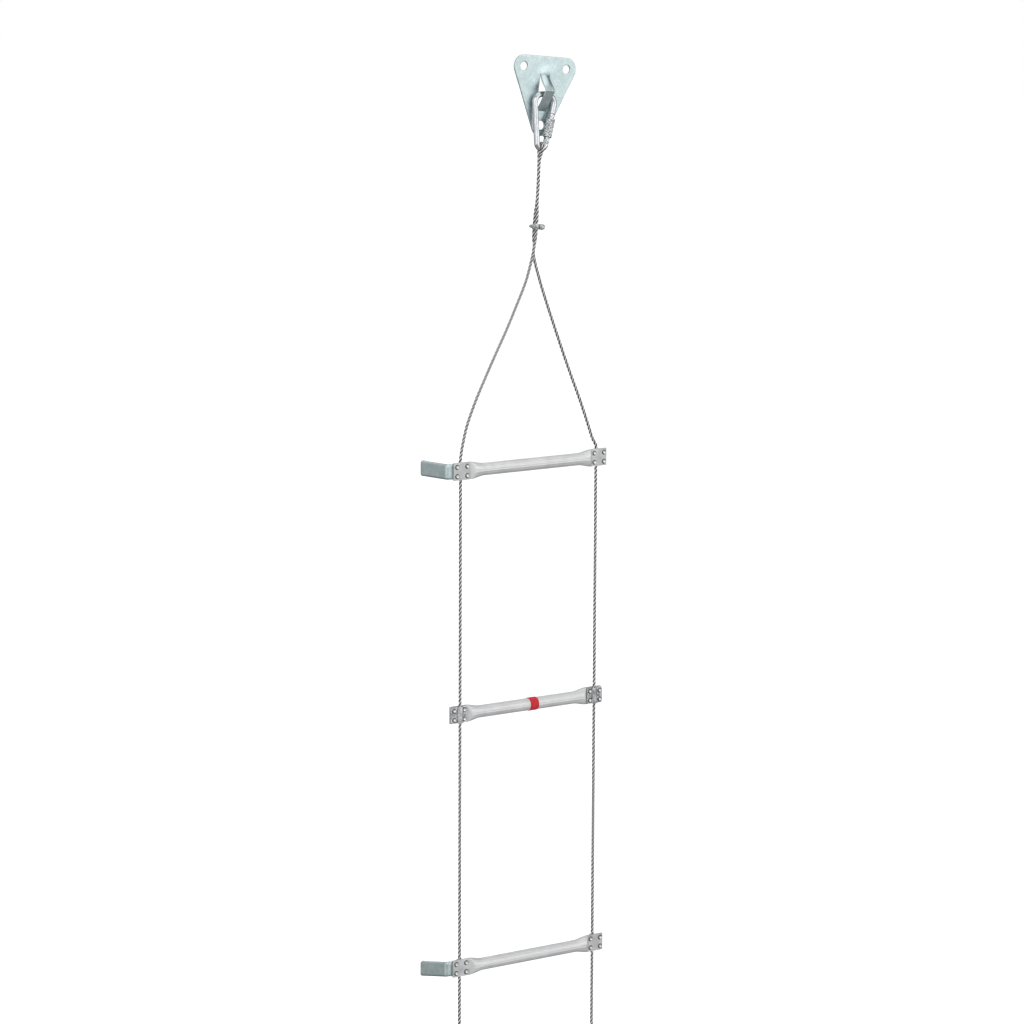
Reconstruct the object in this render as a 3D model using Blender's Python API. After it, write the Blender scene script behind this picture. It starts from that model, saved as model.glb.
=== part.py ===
"""Emergency escape ladder: tube rungs clamped on two wire ropes, hung from a wall plate by a screw-gate carabiner."""

import math

import bmesh
import bpy
from mathutils import Euler, Matrix, Vector

# Driving dimensions, in metres and degrees.
# X runs along the rungs, +Y points into the wall and +Z up.
# The origin is on the wall plate's back face, midway between its two upper screw holes.

GAP = 0.0003

PLATE_THICK = 0.0024
PLATE_TURN = 5.5
SCREW_HOLE_SPREAD = 0.061
SCREW_HOLE_DROP = 0.067
SCREW_HOLE_R = 0.00525
PLATE_TOP_CORNER_R = 0.0135
PLATE_TIP_R = 0.0128

BRIDGE_WIDTH = 0.0125
BRIDGE_TOP = 0.0035
BRIDGE_CREASE = 0.026
BRIDGE_FOOT = 0.0505
BRIDGE_STANDOFF = 0.0145
BRIDGE_THICK = 0.0022
SLIT = 0.0005

ROD_R = 0.0035
CARABINER_LENGTH = 0.0705
CARABINER_TURN = 9.0
TOP_BOW_R = 0.022
CORNER_R = 0.009
BOW_HALF_WIDTH = 0.0137
LOWER_BOW_R = 0.0062
BOW_PLAY = 0.0012
PIVOT_TO_WALL = 0.0015
PIVOT_UP = 0.0005

HINGE_RISE = 0.005
GATE_LENGTH = 0.0315
GATE_OPENS = 24.0
PIN_R = 0.0015
TONGUE_THICK = 0.003
NOSE_TONGUE_THICK = 0.002
NOSE_TONGUE_WIDTH = 0.0052
NOSE_TONGUE_DEPTH = 0.0042
SPRING_BORE_R = 0.0019
SPRING_BORE_DEPTH = 0.014
SPRING_WIRE_R = 0.0003
SPRING_TURNS = 7
PLUNGER_LENGTH = 0.004

SLEEVE_R = 0.0053
SLEEVE_LENGTH = 0.0225
SLEEVE_START = 0.0038
SLEEVE_TRAVEL = 0.008
SLEEVE_FLUTES = 18
SLEEVE_FLUTE_DEPTH = 0.00035

ROPE_R = 0.002
ROPE_Y = -0.012
ROPE_SPACING = 0.196
LADDER_SHIFT = -0.0147

HANGER_DROP = 0.3719
BAYS = (0.292, 0.308, 0.300)
SPACER_RUNGS = (1, 3)
BAND_RUNG = 2

TUBE_R = 0.00765
TUBE_WALL = 0.0013
FLAT_THICK = 0.0028
FLAT_HEIGHT = 0.021
FLAT_LENGTH = 0.0225
FLARE_LENGTH = 0.020
SHOULDER_SLOPE = 1.25
RUNG_SIDES = 16

CLAMP_WIDTH = 0.023
CLAMP_HEIGHT = 0.0195
CLAMP_THICK = 0.0018
CLAMP_OUTBOARD = 0.001
CLAMP_CORNER_R = 0.002
RIVET_R = 0.0018
RIVET_HEAD_R = 0.0024
RIVET_HEAD_RISE = 0.0012
RIVET_SPREAD_X = 0.0142
RIVET_SPREAD_Z = 0.011

SPACER_LENGTH = 0.0502
SPACER_HEIGHT = 0.0165
SPACER_SHELF = 0.0035
SPACER_BEND_R = 0.0025
SPACER_LIP = 0.003
SPACER_DROOP = {1: 2.5, 3: 12.4}

BAND_WIDTH = 0.0125
BAND_WALL = 0.0004
BAND_PLAY = 0.00015
BAND_OFFSET = 0.008

CLIP_SPOT = (-0.0073, -0.0912)
CLIP_LEAN = 4.2
CLIP_LEG_SPREAD = 0.0088
CLIP_LEG_R = 0.0018
CLIP_SADDLE_WIDTH = 0.0146
CLIP_SADDLE_HEIGHT = 0.0062
CLIP_SADDLE_THICK = 0.0034
NUT_FLAT_R = 0.0033
NUT_THICK = 0.0028
LEG_TIP = 0.0016

STUB = 0.001
TAIL_LENGTH = 0.026
FERRULE_R = 0.004
FERRULE_LENGTH = 0.014

# The rope's two legs lie one in front of the other from the eye to the split. Each row of the neck is a place below
# the carabiner's lower bow, and how far round the pair is twisted there.
LEG_OFFSET = ROPE_R + 0.00025
EYE_TURN = 10.0
EYE_RISE = 0.0063
EYE_CLOSES = (0.0145, 26.0)
NECK = (
    (-0.0036, -0.0420, 30.0),
    (-0.0050, -0.0620, 30.0),
    (-0.0064, -0.0792, 0.0),
    (-0.0082, -0.1032, 0.0),
    (-0.0086, -0.1120, 30.0),
)
# Below the split each row is a share of the way across to the rung's end, and of the way down to it.
LEFT_LEG = (
    (0.040, 0.060), (0.120, 0.173), (0.243, 0.285), (0.374, 0.396), (0.520, 0.507),
    (0.663, 0.618), (0.799, 0.729), (0.913, 0.841), (0.976, 0.940),
)
RIGHT_LEG = (
    (0.006, 0.060), (0.098, 0.178), (0.212, 0.296), (0.337, 0.415), (0.467, 0.535),
    (0.604, 0.655), (0.746, 0.776), (0.876, 0.898), (0.934, 0.955),
)


def clear_scene():
    for thing in list(bpy.data.objects):
        bpy.data.objects.remove(thing, do_unlink=True)


def paint(name, colour, roughness, metallic):
    made = bpy.data.materials.new(name)
    made.use_nodes = True
    shader = made.node_tree.nodes["Principled BSDF"]
    shader.inputs["Base Color"].default_value = (*colour, 1.0)
    shader.inputs["Roughness"].default_value = roughness
    shader.inputs["Metallic"].default_value = metallic
    return made


def empty(name, place, turn=(0.0, 0.0, 0.0), parent=None):
    made = bpy.data.objects.new(name, None)
    made.location = place
    made.rotation_euler = turn
    made.parent = parent
    bpy.context.scene.collection.objects.link(made)
    return made


def piece(name, mesh, finish, parent=None, place=(0.0, 0.0, 0.0), turn=(0.0, 0.0, 0.0)):
    """One object of the ladder, shaded smooth with its real corners kept sharp."""
    made = bpy.data.objects.new(name, mesh)
    made.location = place
    made.rotation_euler = turn
    made.parent = parent
    mesh.materials.clear()
    mesh.materials.append(finish)
    mesh.shade_smooth()
    mesh.set_sharp_from_angle(angle=math.radians(35))
    bpy.context.scene.collection.objects.link(made)
    return made


def combine(target, mesh, operation):
    """A live Boolean between a piece and a hidden helper that shares its frame."""
    helper = bpy.data.objects.new(f"{target.name}.helper", mesh)
    helper.parent = target
    helper.hide_render = True
    helper.display_type = "WIRE"
    bpy.context.scene.collection.objects.link(helper)
    step = target.modifiers.new(operation.lower(), "BOOLEAN")
    step.operation = operation
    step.solver = "EXACT"
    step.object = helper


def cut(target, mesh):
    combine(target, mesh, "DIFFERENCE")


def join(target, mesh):
    combine(target, mesh, "UNION")


def solid(points, faces):
    mesh = bpy.data.meshes.new("solid")
    mesh.from_pydata(points, [], faces)
    form = bmesh.new()
    form.from_mesh(mesh)
    bmesh.ops.remove_doubles(form, verts=form.verts, dist=1e-7)
    bmesh.ops.recalc_face_normals(form, faces=form.faces)
    form.to_mesh(mesh)
    form.free()
    return mesh


def prism(outline, low, high, axis):
    """A flat outline run from low to high along an axis; the outline holds the other two coordinates in order."""
    count = len(outline)
    points = []
    for level in (low, high):
        for first, second in outline:
            points.append({"X": (level, first, second), "Y": (first, level, second), "Z": (first, second, level)}[axis])
    faces = [tuple(range(count)), tuple(range(count, 2 * count))]
    faces += [(i, (i + 1) % count, count + (i + 1) % count, count + i) for i in range(count)]
    return solid(points, faces)


def box(low, high):
    outline = [(low[0], low[1]), (high[0], low[1]), (high[0], high[1]), (low[0], high[1])]
    return prism(outline, low[2], high[2], "Z")


def arc(centre, radius, start, end, steps):
    """Points on a circle from one angle to another, both ends included, angles in degrees."""
    angles = [math.radians(start + (end - start) * i / steps) for i in range(steps + 1)]
    return [(centre[0] + radius * math.cos(a), centre[1] + radius * math.sin(a)) for a in angles]


def circle(radius, sides, centre=(0.0, 0.0)):
    return arc(centre, radius, 0, 360 * (sides - 1) / sides, sides - 1)


def drum(radius, low, high, axis="Z", centre=(0.0, 0.0), sides=16):
    return prism(circle(radius, sides, centre), low, high, axis)


def turned(profile, sides):
    """A closed ring of (radius, height) points turned round Z. Each radius may be a function of the angle."""
    points = []
    for i in range(sides):
        angle = 2 * math.pi * i / sides
        for radius, height in profile:
            reach = radius(i) if callable(radius) else radius
            points.append((reach * math.cos(angle), reach * math.sin(angle), height))
    count = len(profile)
    faces = []
    for i in range(sides):
        this, following = i * count, (i + 1) % sides * count
        for j in range(count):
            k = (j + 1) % count
            faces.append((this + j, following + j, following + k, this + k))
    return solid(points, faces)


def smooth_route(points, spacing):
    """Points along a Catmull-Rom curve through the given ones, about the spacing apart."""
    ends = [points[0] * 2 - points[1], *points, points[-1] * 2 - points[-2]]
    route = []
    for a, b, c, d in zip(ends, ends[1:], ends[2:], ends[3:]):
        steps = max(1, round((c - b).length / spacing))
        for i in range(steps):
            t = i / steps
            route.append(0.5 * (2 * b + (c - a) * t + (2 * a - 5 * b + 4 * c - d) * t * t
                                + (3 * b - a - 3 * c + d) * t * t * t))
    return [*route, points[-1]]


def wire(points, radius, resolution):
    """A round wire along the points, as a mesh with closed ends."""
    curve = bpy.data.curves.new("wire", "CURVE")
    curve.dimensions = "3D"
    curve.bevel_depth = radius
    curve.bevel_resolution = resolution
    curve.use_fill_caps = True
    spline = curve.splines.new("POLY")
    spline.points.add(len(points) - 1)
    for spot, point in zip(spline.points, points):
        spot.co = (*point, 1.0)
    holder = bpy.data.objects.new("wire", curve)
    mesh = bpy.data.meshes.new_from_object(holder)
    bpy.data.objects.remove(holder)
    form = bmesh.new()
    form.from_mesh(mesh)
    bmesh.ops.remove_doubles(form, verts=form.verts, dist=1e-6)
    bmesh.ops.recalc_face_normals(form, faces=form.faces)
    form.to_mesh(mesh)
    form.free()
    return mesh


clear_scene()
ZINC = paint("zinc_plated_steel", (0.55, 0.60, 0.62), 0.42, 0.9)
BRIGHT = paint("bright_steel", (0.78, 0.79, 0.80), 0.22, 1.0)
ALUMINIUM = paint("aluminium", (0.76, 0.77, 0.78), 0.38, 1.0)
ROPE = paint("steel_wire_rope", (0.42, 0.43, 0.44), 0.45, 1.0)
RED = paint("red_band", (0.66, 0.03, 0.04), 0.5, 0.0)


# Wall plate: the outline runs round three screw holes, and a strip between two slits is pressed out as a bridge.

def plate_outline():
    """The band round three circles: one on each screw hole, joined by straight tangents."""
    half = SCREW_HOLE_SPREAD / 2
    span = math.hypot(half, SCREW_HOLE_DROP)
    lean = math.degrees(math.atan2(half, SCREW_HOLE_DROP))
    draw_in = math.degrees(math.asin((PLATE_TOP_CORNER_R - PLATE_TIP_R) / span))
    side = -lean - draw_in
    right = arc((half, 0.0), PLATE_TOP_CORNER_R, side, 90, 8)
    left = arc((-half, 0.0), PLATE_TOP_CORNER_R, 90, 180 - side, 8)
    tip = arc((0.0, -SCREW_HOLE_DROP), PLATE_TIP_R, 180 - side, 360 + side, 10)
    return right + left + tip


def bridge_profile():
    """(height, stand-off) along the strip's outer face: an eased upper leg, a sharp crease and a straight lower leg."""
    ease = 0.3
    steps = 9
    points = [(-BRIDGE_TOP + 0.0015, -0.0004)]
    for i in range(steps + 1):
        t = i / steps
        rise = t * t / (2 * ease) if t < ease else t - ease / 2
        points.append((-BRIDGE_TOP - (BRIDGE_CREASE - BRIDGE_TOP) * t, BRIDGE_STANDOFF * rise / (1 - ease / 2)))
    foot_steps = 5
    for i in range(1, foot_steps + 1):
        t = i / foot_steps
        points.append((-BRIDGE_CREASE - (BRIDGE_FOOT - BRIDGE_CREASE) * t, BRIDGE_STANDOFF * (1 - t)))
    points.append((-BRIDGE_FOOT - 0.0015, -0.0004))
    return points


def bridge_strip():
    """The strip as a grid. Its upper leg is domed across, and flattens out towards the crease."""
    profile = bridge_profile()
    across = 6
    half = BRIDGE_WIDTH / 2
    deepest = -(PLATE_THICK - GAP)
    outer, inner = [], []
    for j, (height, standoff) in enumerate(profile):
        before = Vector(profile[max(j - 1, 0)])
        after = Vector(profile[min(j + 1, len(profile) - 1)])
        along = (after - before).normalized()
        inward = Vector((along.y, -along.x)) if along.x > 0 else Vector((-along.y, along.x))
        here = Vector((height, standoff))
        to_last = (here - before).normalized() if j else along
        miter = BRIDGE_THICK / max(0.5, abs(Vector((-to_last.y, to_last.x)).dot(inward)))
        run = (-height - BRIDGE_TOP) / (BRIDGE_CREASE - BRIDGE_TOP)
        crown = max(0.0, 1 - max(run, 0.0) / 0.85) ** 1.5 * 0.95
        for i in range(across + 1):
            u = -half + BRIDGE_WIDTH * i / across
            face = max(standoff, 0.0) * (1 - crown * (u / half) ** 2) + min(standoff, 0.0)
            back = Vector((height, face)) + inward * miter
            outer.append((u, -PLATE_THICK - face, height))
            inner.append((u, -PLATE_THICK - max(back.y, deepest), back.x))
    rows, columns = len(profile), across + 1
    points = outer + inner
    faces = []
    for j in range(rows - 1):
        for i in range(across):
            a = j * columns + i
            quad = (a, a + 1, a + columns + 1, a + columns)
            faces += [quad, tuple(rows * columns + v for v in reversed(quad))]
    for j in range(rows - 1):
        for i in (0, across):
            a = j * columns + i
            faces.append((a, a + columns, rows * columns + a + columns, rows * columns + a))
    for row in (0, rows - 1):
        for i in range(across):
            a = row * columns + i
            faces.append((a, a + 1, rows * columns + a + 1, rows * columns + a))
    return solid(points, faces)


plate_turn = math.radians(PLATE_TURN)
wall_plate = piece("wall_plate", prism(plate_outline(), -PLATE_THICK, 0.0, "Y"), ZINC, turn=(0.0, plate_turn, 0.0))
for hole in ((-SCREW_HOLE_SPREAD / 2, 0.0), (SCREW_HOLE_SPREAD / 2, 0.0), (0.0, -SCREW_HOLE_DROP)):
    cut(wall_plate, drum(SCREW_HOLE_R, -0.01, 0.01, "Y", hole, 20))
window_half = BRIDGE_WIDTH / 2 + SLIT
window_top = BRIDGE_TOP + 0.005
cut(wall_plate, box((-window_half, -0.01, -BRIDGE_FOOT + 0.0015), (window_half, 0.01, -window_top)))
join(wall_plate, bridge_strip())


# Carabiner: it hangs where its rod fits between the plate and the bridge's lower leg.

def seat_drop():
    """How far below the origin the top bow lies: its rod against the plate, with room to swing before the lower leg."""
    slope = BRIDGE_STANDOFF / (BRIDGE_FOOT - BRIDGE_CREASE)
    cosine = 1 / math.hypot(1, slope)
    room = BRIDGE_STANDOFF - (BRIDGE_THICK + ROD_R + BOW_PLAY) / cosine
    return BRIDGE_CREASE + (room - ROD_R - GAP) / slope


bow_to_bow = CARABINER_LENGTH - 2 * ROD_R
seat = seat_drop()
seat_y = -PLATE_THICK - ROD_R - GAP
tilt = math.asin((seat_y - ROPE_Y) / bow_to_bow)
carabiner_turn = Euler((-tilt, math.radians(CARABINER_TURN), 0.0)).to_matrix()
seat_spot = Vector((-seat * math.sin(plate_turn), seat_y, -seat * math.cos(plate_turn)))
pivot_offset = Vector((0.0, PIVOT_TO_WALL, PIVOT_UP))
carabiner_pivot = empty("carabiner_pivot", seat_spot + carabiner_turn @ pivot_offset, carabiner_turn.to_euler())
carabiner_frame = empty("carabiner_frame", -pivot_offset, parent=carabiner_pivot)

# In the carabiner's own frame the top bow's axis passes through the origin and its lower bow lies straight below.
bow_spread = math.asin((BOW_HALF_WIDTH - CORNER_R) / (TOP_BOW_R - CORNER_R))
corner = Vector((BOW_HALF_WIDTH - CORNER_R, (TOP_BOW_R - CORNER_R) * math.cos(bow_spread) - TOP_BOW_R))
lower_bow = Vector((0.0, LOWER_BOW_R - bow_to_bow))
between = corner - lower_bow
splay = math.atan2(between.x, between.y) + math.asin((CORNER_R - LOWER_BOW_R) / between.length)
splay_deg = math.degrees(splay)
spread_deg = math.degrees(bow_spread)
along_gate = Vector((math.sin(splay), math.cos(splay)))
gate_side = Vector((math.cos(splay), -math.sin(splay)))
gate_foot = lower_bow + gate_side * LOWER_BOW_R
gate_pivot = gate_foot + along_gate * HINGE_RISE
shoulder = ROD_R + 0.0004
nose_start = GATE_LENGTH + GAP


def body_route():
    """The rod's axis from the hinge shoulder round the lower bow, up the spine, over the top bow to the nose."""
    start = gate_pivot - along_gate * shoulder
    lower = arc(lower_bow, LOWER_BOW_R, -splay_deg, -180 + splay_deg, 10)
    spine_corner = arc((-corner.x, corner.y), CORNER_R, 180 + splay_deg, 90 + spread_deg, 6)
    top = arc((0.0, -TOP_BOW_R), TOP_BOW_R, 90 + spread_deg, 90 - spread_deg, 6)
    nose_corner = arc(corner, CORNER_R, 90 - spread_deg, -splay_deg, 6)
    nose = gate_pivot + along_gate * nose_start
    flat = [tuple(start), *lower, *spine_corner, *top[1:-1], *nose_corner, tuple(nose)]
    return [Vector((x, 0.0, z)) for x, z in flat]


def in_gate_frame(mesh):
    mesh.transform(Matrix.Rotation(splay, 4, "Y"))
    mesh.transform(Matrix.Translation((gate_pivot.x, 0.0, gate_pivot.y)))
    return mesh


carabiner_body = piece("carabiner_body", wire(body_route(), ROD_R, 4), BRIGHT, carabiner_frame)
tongue_r = ROD_R - GAP
tongue = [*arc((0.0, 0.0), tongue_r, 0, 180, 8), (-tongue_r, -shoulder - 0.001), (tongue_r, -shoulder - 0.001)]
join(carabiner_body, in_gate_frame(prism(tongue, -TONGUE_THICK / 2, TONGUE_THICK / 2, "Y")))
cut(carabiner_body, in_gate_frame(drum(PIN_R + GAP, -0.01, 0.01, "Y", sides=12)))
half_nose = NOSE_TONGUE_WIDTH / 2
nose_low = nose_start - GAP - NOSE_TONGUE_DEPTH
nose_high = nose_start + 0.0015
nose_half_thick = NOSE_TONGUE_THICK / 2
join(carabiner_body, in_gate_frame(box((-half_nose, -nose_half_thick, nose_low), (half_nose, nose_half_thick, nose_high))))

gate_hinge = empty("gate_hinge", (gate_pivot.x, 0.0, gate_pivot.y), (0.0, splay, 0.0), carabiner_frame)
gate_outline = [*arc((0.0, 0.0), ROD_R - 0.0001, 180, 360, 8), (ROD_R + 0.001, 0.0005),
                (ROD_R + 0.001, GATE_LENGTH), (-ROD_R - 0.001, GATE_LENGTH), (-ROD_R - 0.001, 0.0005)]
carabiner_gate = piece("carabiner_gate", drum(ROD_R, -0.01, GATE_LENGTH + 0.01, sides=16), BRIGHT, gate_hinge)
combine(carabiner_gate, prism(gate_outline, -0.01, 0.01, "Y"), "INTERSECT")
fork_half = TONGUE_THICK / 2 + GAP
fork_top = ROD_R + 0.0011
cut(carabiner_gate, box((-0.01, -fork_half, -0.01), (0.01, fork_half, fork_top)))
cut(carabiner_gate, drum(PIN_R + GAP, -0.01, 0.01, "Y", sides=12))
cut(carabiner_gate, drum(SPRING_BORE_R, fork_top - 0.001, fork_top + SPRING_BORE_DEPTH, sides=12))
tip_half = nose_half_thick + GAP
tip_floor = GATE_LENGTH - NOSE_TONGUE_DEPTH - 0.0008
cut(carabiner_gate, box((-0.01, -tip_half, tip_floor), (0.01, tip_half, GATE_LENGTH + 0.01)))

gate_pin = piece("gate_pin", drum(PIN_R, -ROD_R, ROD_R, "Y", sides=12), BRIGHT, carabiner_frame,
                 (gate_pivot.x, 0.0, gate_pivot.y), (0.0, splay, 0.0))

plunger_r = SPRING_BORE_R - GAP
plunger_low = tongue_r + GAP
plunger_profile = [(0.0, plunger_low), (plunger_r * 0.6, plunger_low + 0.0002), (plunger_r, plunger_low + 0.001),
                   (plunger_r, plunger_low + PLUNGER_LENGTH), (0.0, plunger_low + PLUNGER_LENGTH)]
piece("gate_plunger", turned(plunger_profile, 12), BRIGHT, gate_hinge)
coil_low = plunger_low + PLUNGER_LENGTH + GAP + SPRING_WIRE_R
coil_high = fork_top + SPRING_BORE_DEPTH - GAP - SPRING_WIRE_R
coil_r = SPRING_BORE_R - GAP - SPRING_WIRE_R
coil_steps = SPRING_TURNS * 10
coil = [Vector((coil_r * math.cos(2 * math.pi * i / 10), coil_r * math.sin(2 * math.pi * i / 10),
                coil_low + (coil_high - coil_low) * i / coil_steps)) for i in range(coil_steps + 1)]
piece("gate_spring", wire(coil, SPRING_WIRE_R, 0), BRIGHT, gate_hinge)

bore_r = ROD_R + GAP
chamfer = 0.0007
collar = 0.0022


def flute(i):
    return SLEEVE_R - SLEEVE_FLUTE_DEPTH * (i % 2)


sleeve_profile = [
    (bore_r, 0.0), (SLEEVE_R - chamfer, 0.0), (SLEEVE_R, chamfer), (SLEEVE_R, collar), (flute, collar + 0.0004),
    (flute, SLEEVE_LENGTH - collar - 0.0004), (SLEEVE_R, SLEEVE_LENGTH - collar),
    (SLEEVE_R, SLEEVE_LENGTH - chamfer), (SLEEVE_R - chamfer, SLEEVE_LENGTH), (bore_r, SLEEVE_LENGTH),
]
piece("screw_sleeve", turned(sleeve_profile, 2 * SLEEVE_FLUTES), BRIGHT, gate_hinge, (0.0, 0.0, SLEEVE_START))


# Rungs and clamps. The rope lies against the flat end of the rung, in the channel of the clamp plate.

channel_r = ROPE_R + GAP
channel_outer_r = channel_r + CLAMP_THICK
flange_face = channel_r - GAP
rung_face = channel_r
rung_offset = rung_face + FLAT_THICK / 2
rung_half = ROPE_SPACING / 2 + CLAMP_OUTBOARD + FLAT_LENGTH / 2


def rung_ring(x, radius, flat_half_thick, flat_half_height, sides):
    """One section of the tube. Its height spreads along the flare, and two sloping shoulders close it to the flat."""
    short = max(0.0, rung_half - FLAT_LENGTH - abs(x))
    into = 1 - min(1.0, short / FLARE_LENGTH)
    spread = into * into * (3 - 2 * into)
    limit = flat_half_thick + SHOULDER_SLOPE * short
    ring = []
    for i in range(sides):
        angle = 2 * math.pi * i / sides
        sine = math.sin(angle)
        flat_z = flat_half_height * math.copysign(1 - (1 - abs(sine)) ** 1.1, sine)
        thick = min(limit, max(-limit, radius * math.cos(angle)))
        ring.append((x, thick, (1 - spread) * radius * sine + spread * flat_z))
    return ring


def rung_mesh():
    """A flattened tube: an outer and an inner skin joined round the two open end slits."""
    flat_start = rung_half - FLAT_LENGTH
    shoulder_long = (TUBE_R - FLAT_THICK / 2) / SHOULDER_SLOPE
    stations = [flat_start - FLARE_LENGTH * share for share in (1, 0.75, 0.5)]
    stations += [flat_start - shoulder_long * share for share in (1, 0.75, 0.5, 0.25, 0)] + [rung_half]
    stations = [-x for x in reversed(stations)] + stations
    sides = RUNG_SIDES
    slit_half = GAP / 2
    half_height = FLAT_HEIGHT / 2
    points = []
    for x in stations:
        points += rung_ring(x, TUBE_R, FLAT_THICK / 2, half_height, sides)
    for x in stations:
        points += rung_ring(x, TUBE_R - TUBE_WALL, slit_half, half_height - TUBE_WALL, sides)
    count = len(stations)
    faces = []
    for s in range(count - 1):
        for i in range(sides):
            j = (i + 1) % sides
            outer = (s * sides + i, s * sides + j, (s + 1) * sides + j, (s + 1) * sides + i)
            faces += [outer, tuple(count * sides + v for v in reversed(outer))]
    for s in (0, count - 1):
        for i in range(sides):
            j = (i + 1) % sides
            faces.append((s * sides + i, s * sides + j, (count + s) * sides + j, (count + s) * sides + i))
    return solid(points, faces)


rivet_spots = [(sx * RIVET_SPREAD_X / 2, sz * RIVET_SPREAD_Z / 2) for sx in (-1, 1) for sz in (-1, 1)]


def rivet(x, z):
    """A rivet from its head on the clamp plate to its head beyond the rung, turned round Y."""
    low, high = flange_face - CLAMP_THICK, rung_face + FLAT_THICK + GAP
    rings = [(0.55 * RIVET_HEAD_R, low - RIVET_HEAD_RISE), (0.92 * RIVET_HEAD_R, low - 0.55 * RIVET_HEAD_RISE),
             (RIVET_HEAD_R, low - 0.0002), (RIVET_HEAD_R, low + 0.0005), (RIVET_R, low + 0.0007), (RIVET_R, high),
             (RIVET_HEAD_R, high), (0.92 * RIVET_HEAD_R, high + 0.55 * RIVET_HEAD_RISE),
             (0.55 * RIVET_HEAD_R, high + RIVET_HEAD_RISE)]
    sides = 10
    points = [(x + r * math.cos(2 * math.pi * i / sides), level, z + r * math.sin(2 * math.pi * i / sides))
              for r, level in rings for i in range(sides)]
    faces = [tuple(range(sides)), tuple(range((len(rings) - 1) * sides, len(rings) * sides))]
    for ring in range(len(rings) - 1):
        for i in range(sides):
            j = (i + 1) % sides
            faces.append((ring * sides + i, ring * sides + j, (ring + 1) * sides + j, (ring + 1) * sides + i))
    return solid(points, faces)


def clamp_stations(spacer):
    """The bent plate from its outboard edge to its inboard one: its two faces and its half height at each station.

    The channel opens towards +Y, and the outboard edge is at -X.
    """
    outboard, inboard = CLAMP_WIDTH / 2 + CLAMP_OUTBOARD, CLAMP_WIDTH / 2 - CLAMP_OUTBOARD
    tall, corner_r = CLAMP_HEIGHT / 2, CLAMP_CORNER_R
    high, low = flange_face, flange_face - CLAMP_THICK
    edge = [(0.0, tall - corner_r), (0.3 * corner_r, tall - 0.29 * corner_r), (corner_r, tall)]
    stations = []
    if spacer:
        turn_x = -outboard - SPACER_SHELF
        inner, outer = SPACER_BEND_R, SPACER_BEND_R + CLAMP_THICK
        far = low - SPACER_BEND_R - SPACER_LENGTH
        narrow = SPACER_HEIGHT / 2
        foot = (turn_x, far)
        stations.append(((turn_x + SPACER_LIP, far - outer), (turn_x + SPACER_LIP, far - inner), narrow))
        stations += [(a, b, narrow) for a, b in zip(arc(foot, outer, 270, 180, 4), arc(foot, inner, 270, 180, 4))]
        bend = (turn_x, low - SPACER_BEND_R)
        stations += [(a, b, narrow) for a, b in zip(arc(bend, outer, 180, 90, 5), arc(bend, inner, 180, 90, 5))]
        edge = [(0.0, narrow), *edge[1:]]
    stations += [((reach - outboard, high), (reach - outboard, low), height) for reach, height in edge]
    stations.append(((-channel_r, high), (-channel_outer_r, low), tall))
    stations += [(a, b, tall) for a, b in zip(arc((0.0, 0.0), channel_r, 180, 360, 8),
                                              arc((0.0, 0.0), channel_outer_r, 180, 360, 8))]
    stations.append(((channel_r, high), (channel_outer_r, low), tall))
    edge = [(corner_r, tall), (0.3 * corner_r, tall - 0.29 * corner_r), (0.0, tall - corner_r)]
    return stations + [((inboard - reach, high), (inboard - reach, low), height) for reach, height in edge]


def clamp_mesh(spacer, mirrored, droop):
    stations = clamp_stations(spacer)
    fall = math.tan(math.radians(droop))
    points = []
    for first, second, half_height in stations:
        for side, level in ((first, half_height), (first, -half_height), (second, -half_height), (second, half_height)):
            drop = min(0.0, side[1]) * fall if side[0] < -CLAMP_WIDTH / 2 else 0.0
            points.append((-side[0] if mirrored else side[0], side[1], level + drop))
    faces = [(0, 1, 2, 3), tuple(4 * len(stations) - 4 + i for i in range(4))]
    for s in range(len(stations) - 1):
        for i in range(4):
            j = (i + 1) % 4
            faces.append((4 * s + i, 4 * s + j, 4 * s + 4 + j, 4 * s + 4 + i))
    return solid(points, faces)


def rung_and_clamps(number, bay, drop):
    """One rung with its two clamp plates, at a drop below its bay's pivot."""
    in_front = number in SPACER_RUNGS
    side = -1 if in_front else 1
    rung = piece(f"rung_{number}", rung_mesh(), ALUMINIUM, bay, (0.0, side * rung_offset, -drop))
    for end, name in ((-1, "left"), (1, "right")):
        for x, z in rivet_spots:
            spot_x = end * (ROPE_SPACING / 2 + CLAMP_OUTBOARD) + x
            cut(rung, drum(RIVET_R + GAP, -0.004, 0.004, "Y", (spot_x, z), 10))
        spacer = in_front and end == -1
        local_end = end * side
        mesh = clamp_mesh(spacer, local_end == 1, SPACER_DROOP[number] if spacer else 0.0)
        plate = piece(f"clamp_{name}_{number}", mesh, ZINC, bay, (end * ROPE_SPACING / 2, 0.0, -drop),
                      (0.0, 0.0, math.pi if in_front else 0.0))
        for x, z in rivet_spots:
            join(plate, rivet(x + local_end * CLAMP_OUTBOARD, z))
    return rung


def rope_stretch(name, bay, x, drop, beyond):
    """A straight rope from the pivot, where its end is round, down through a clamp and on past it."""
    reach = drop + beyond
    rise = [(ROPE_R * math.cos(math.radians(a)), ROPE_R * math.sin(math.radians(a))) for a in (0, 25, 50, 75)]
    profile = [(0.0, -reach), (ROPE_R, -reach), *rise, (0.0, ROPE_R)]
    return piece(name, turned(profile, 10), ROPE, bay, (x, 0.0, 0.0))


# The hanger: one rope from the first rung's left end, up through its clip, over the carabiner and down again.

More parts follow.
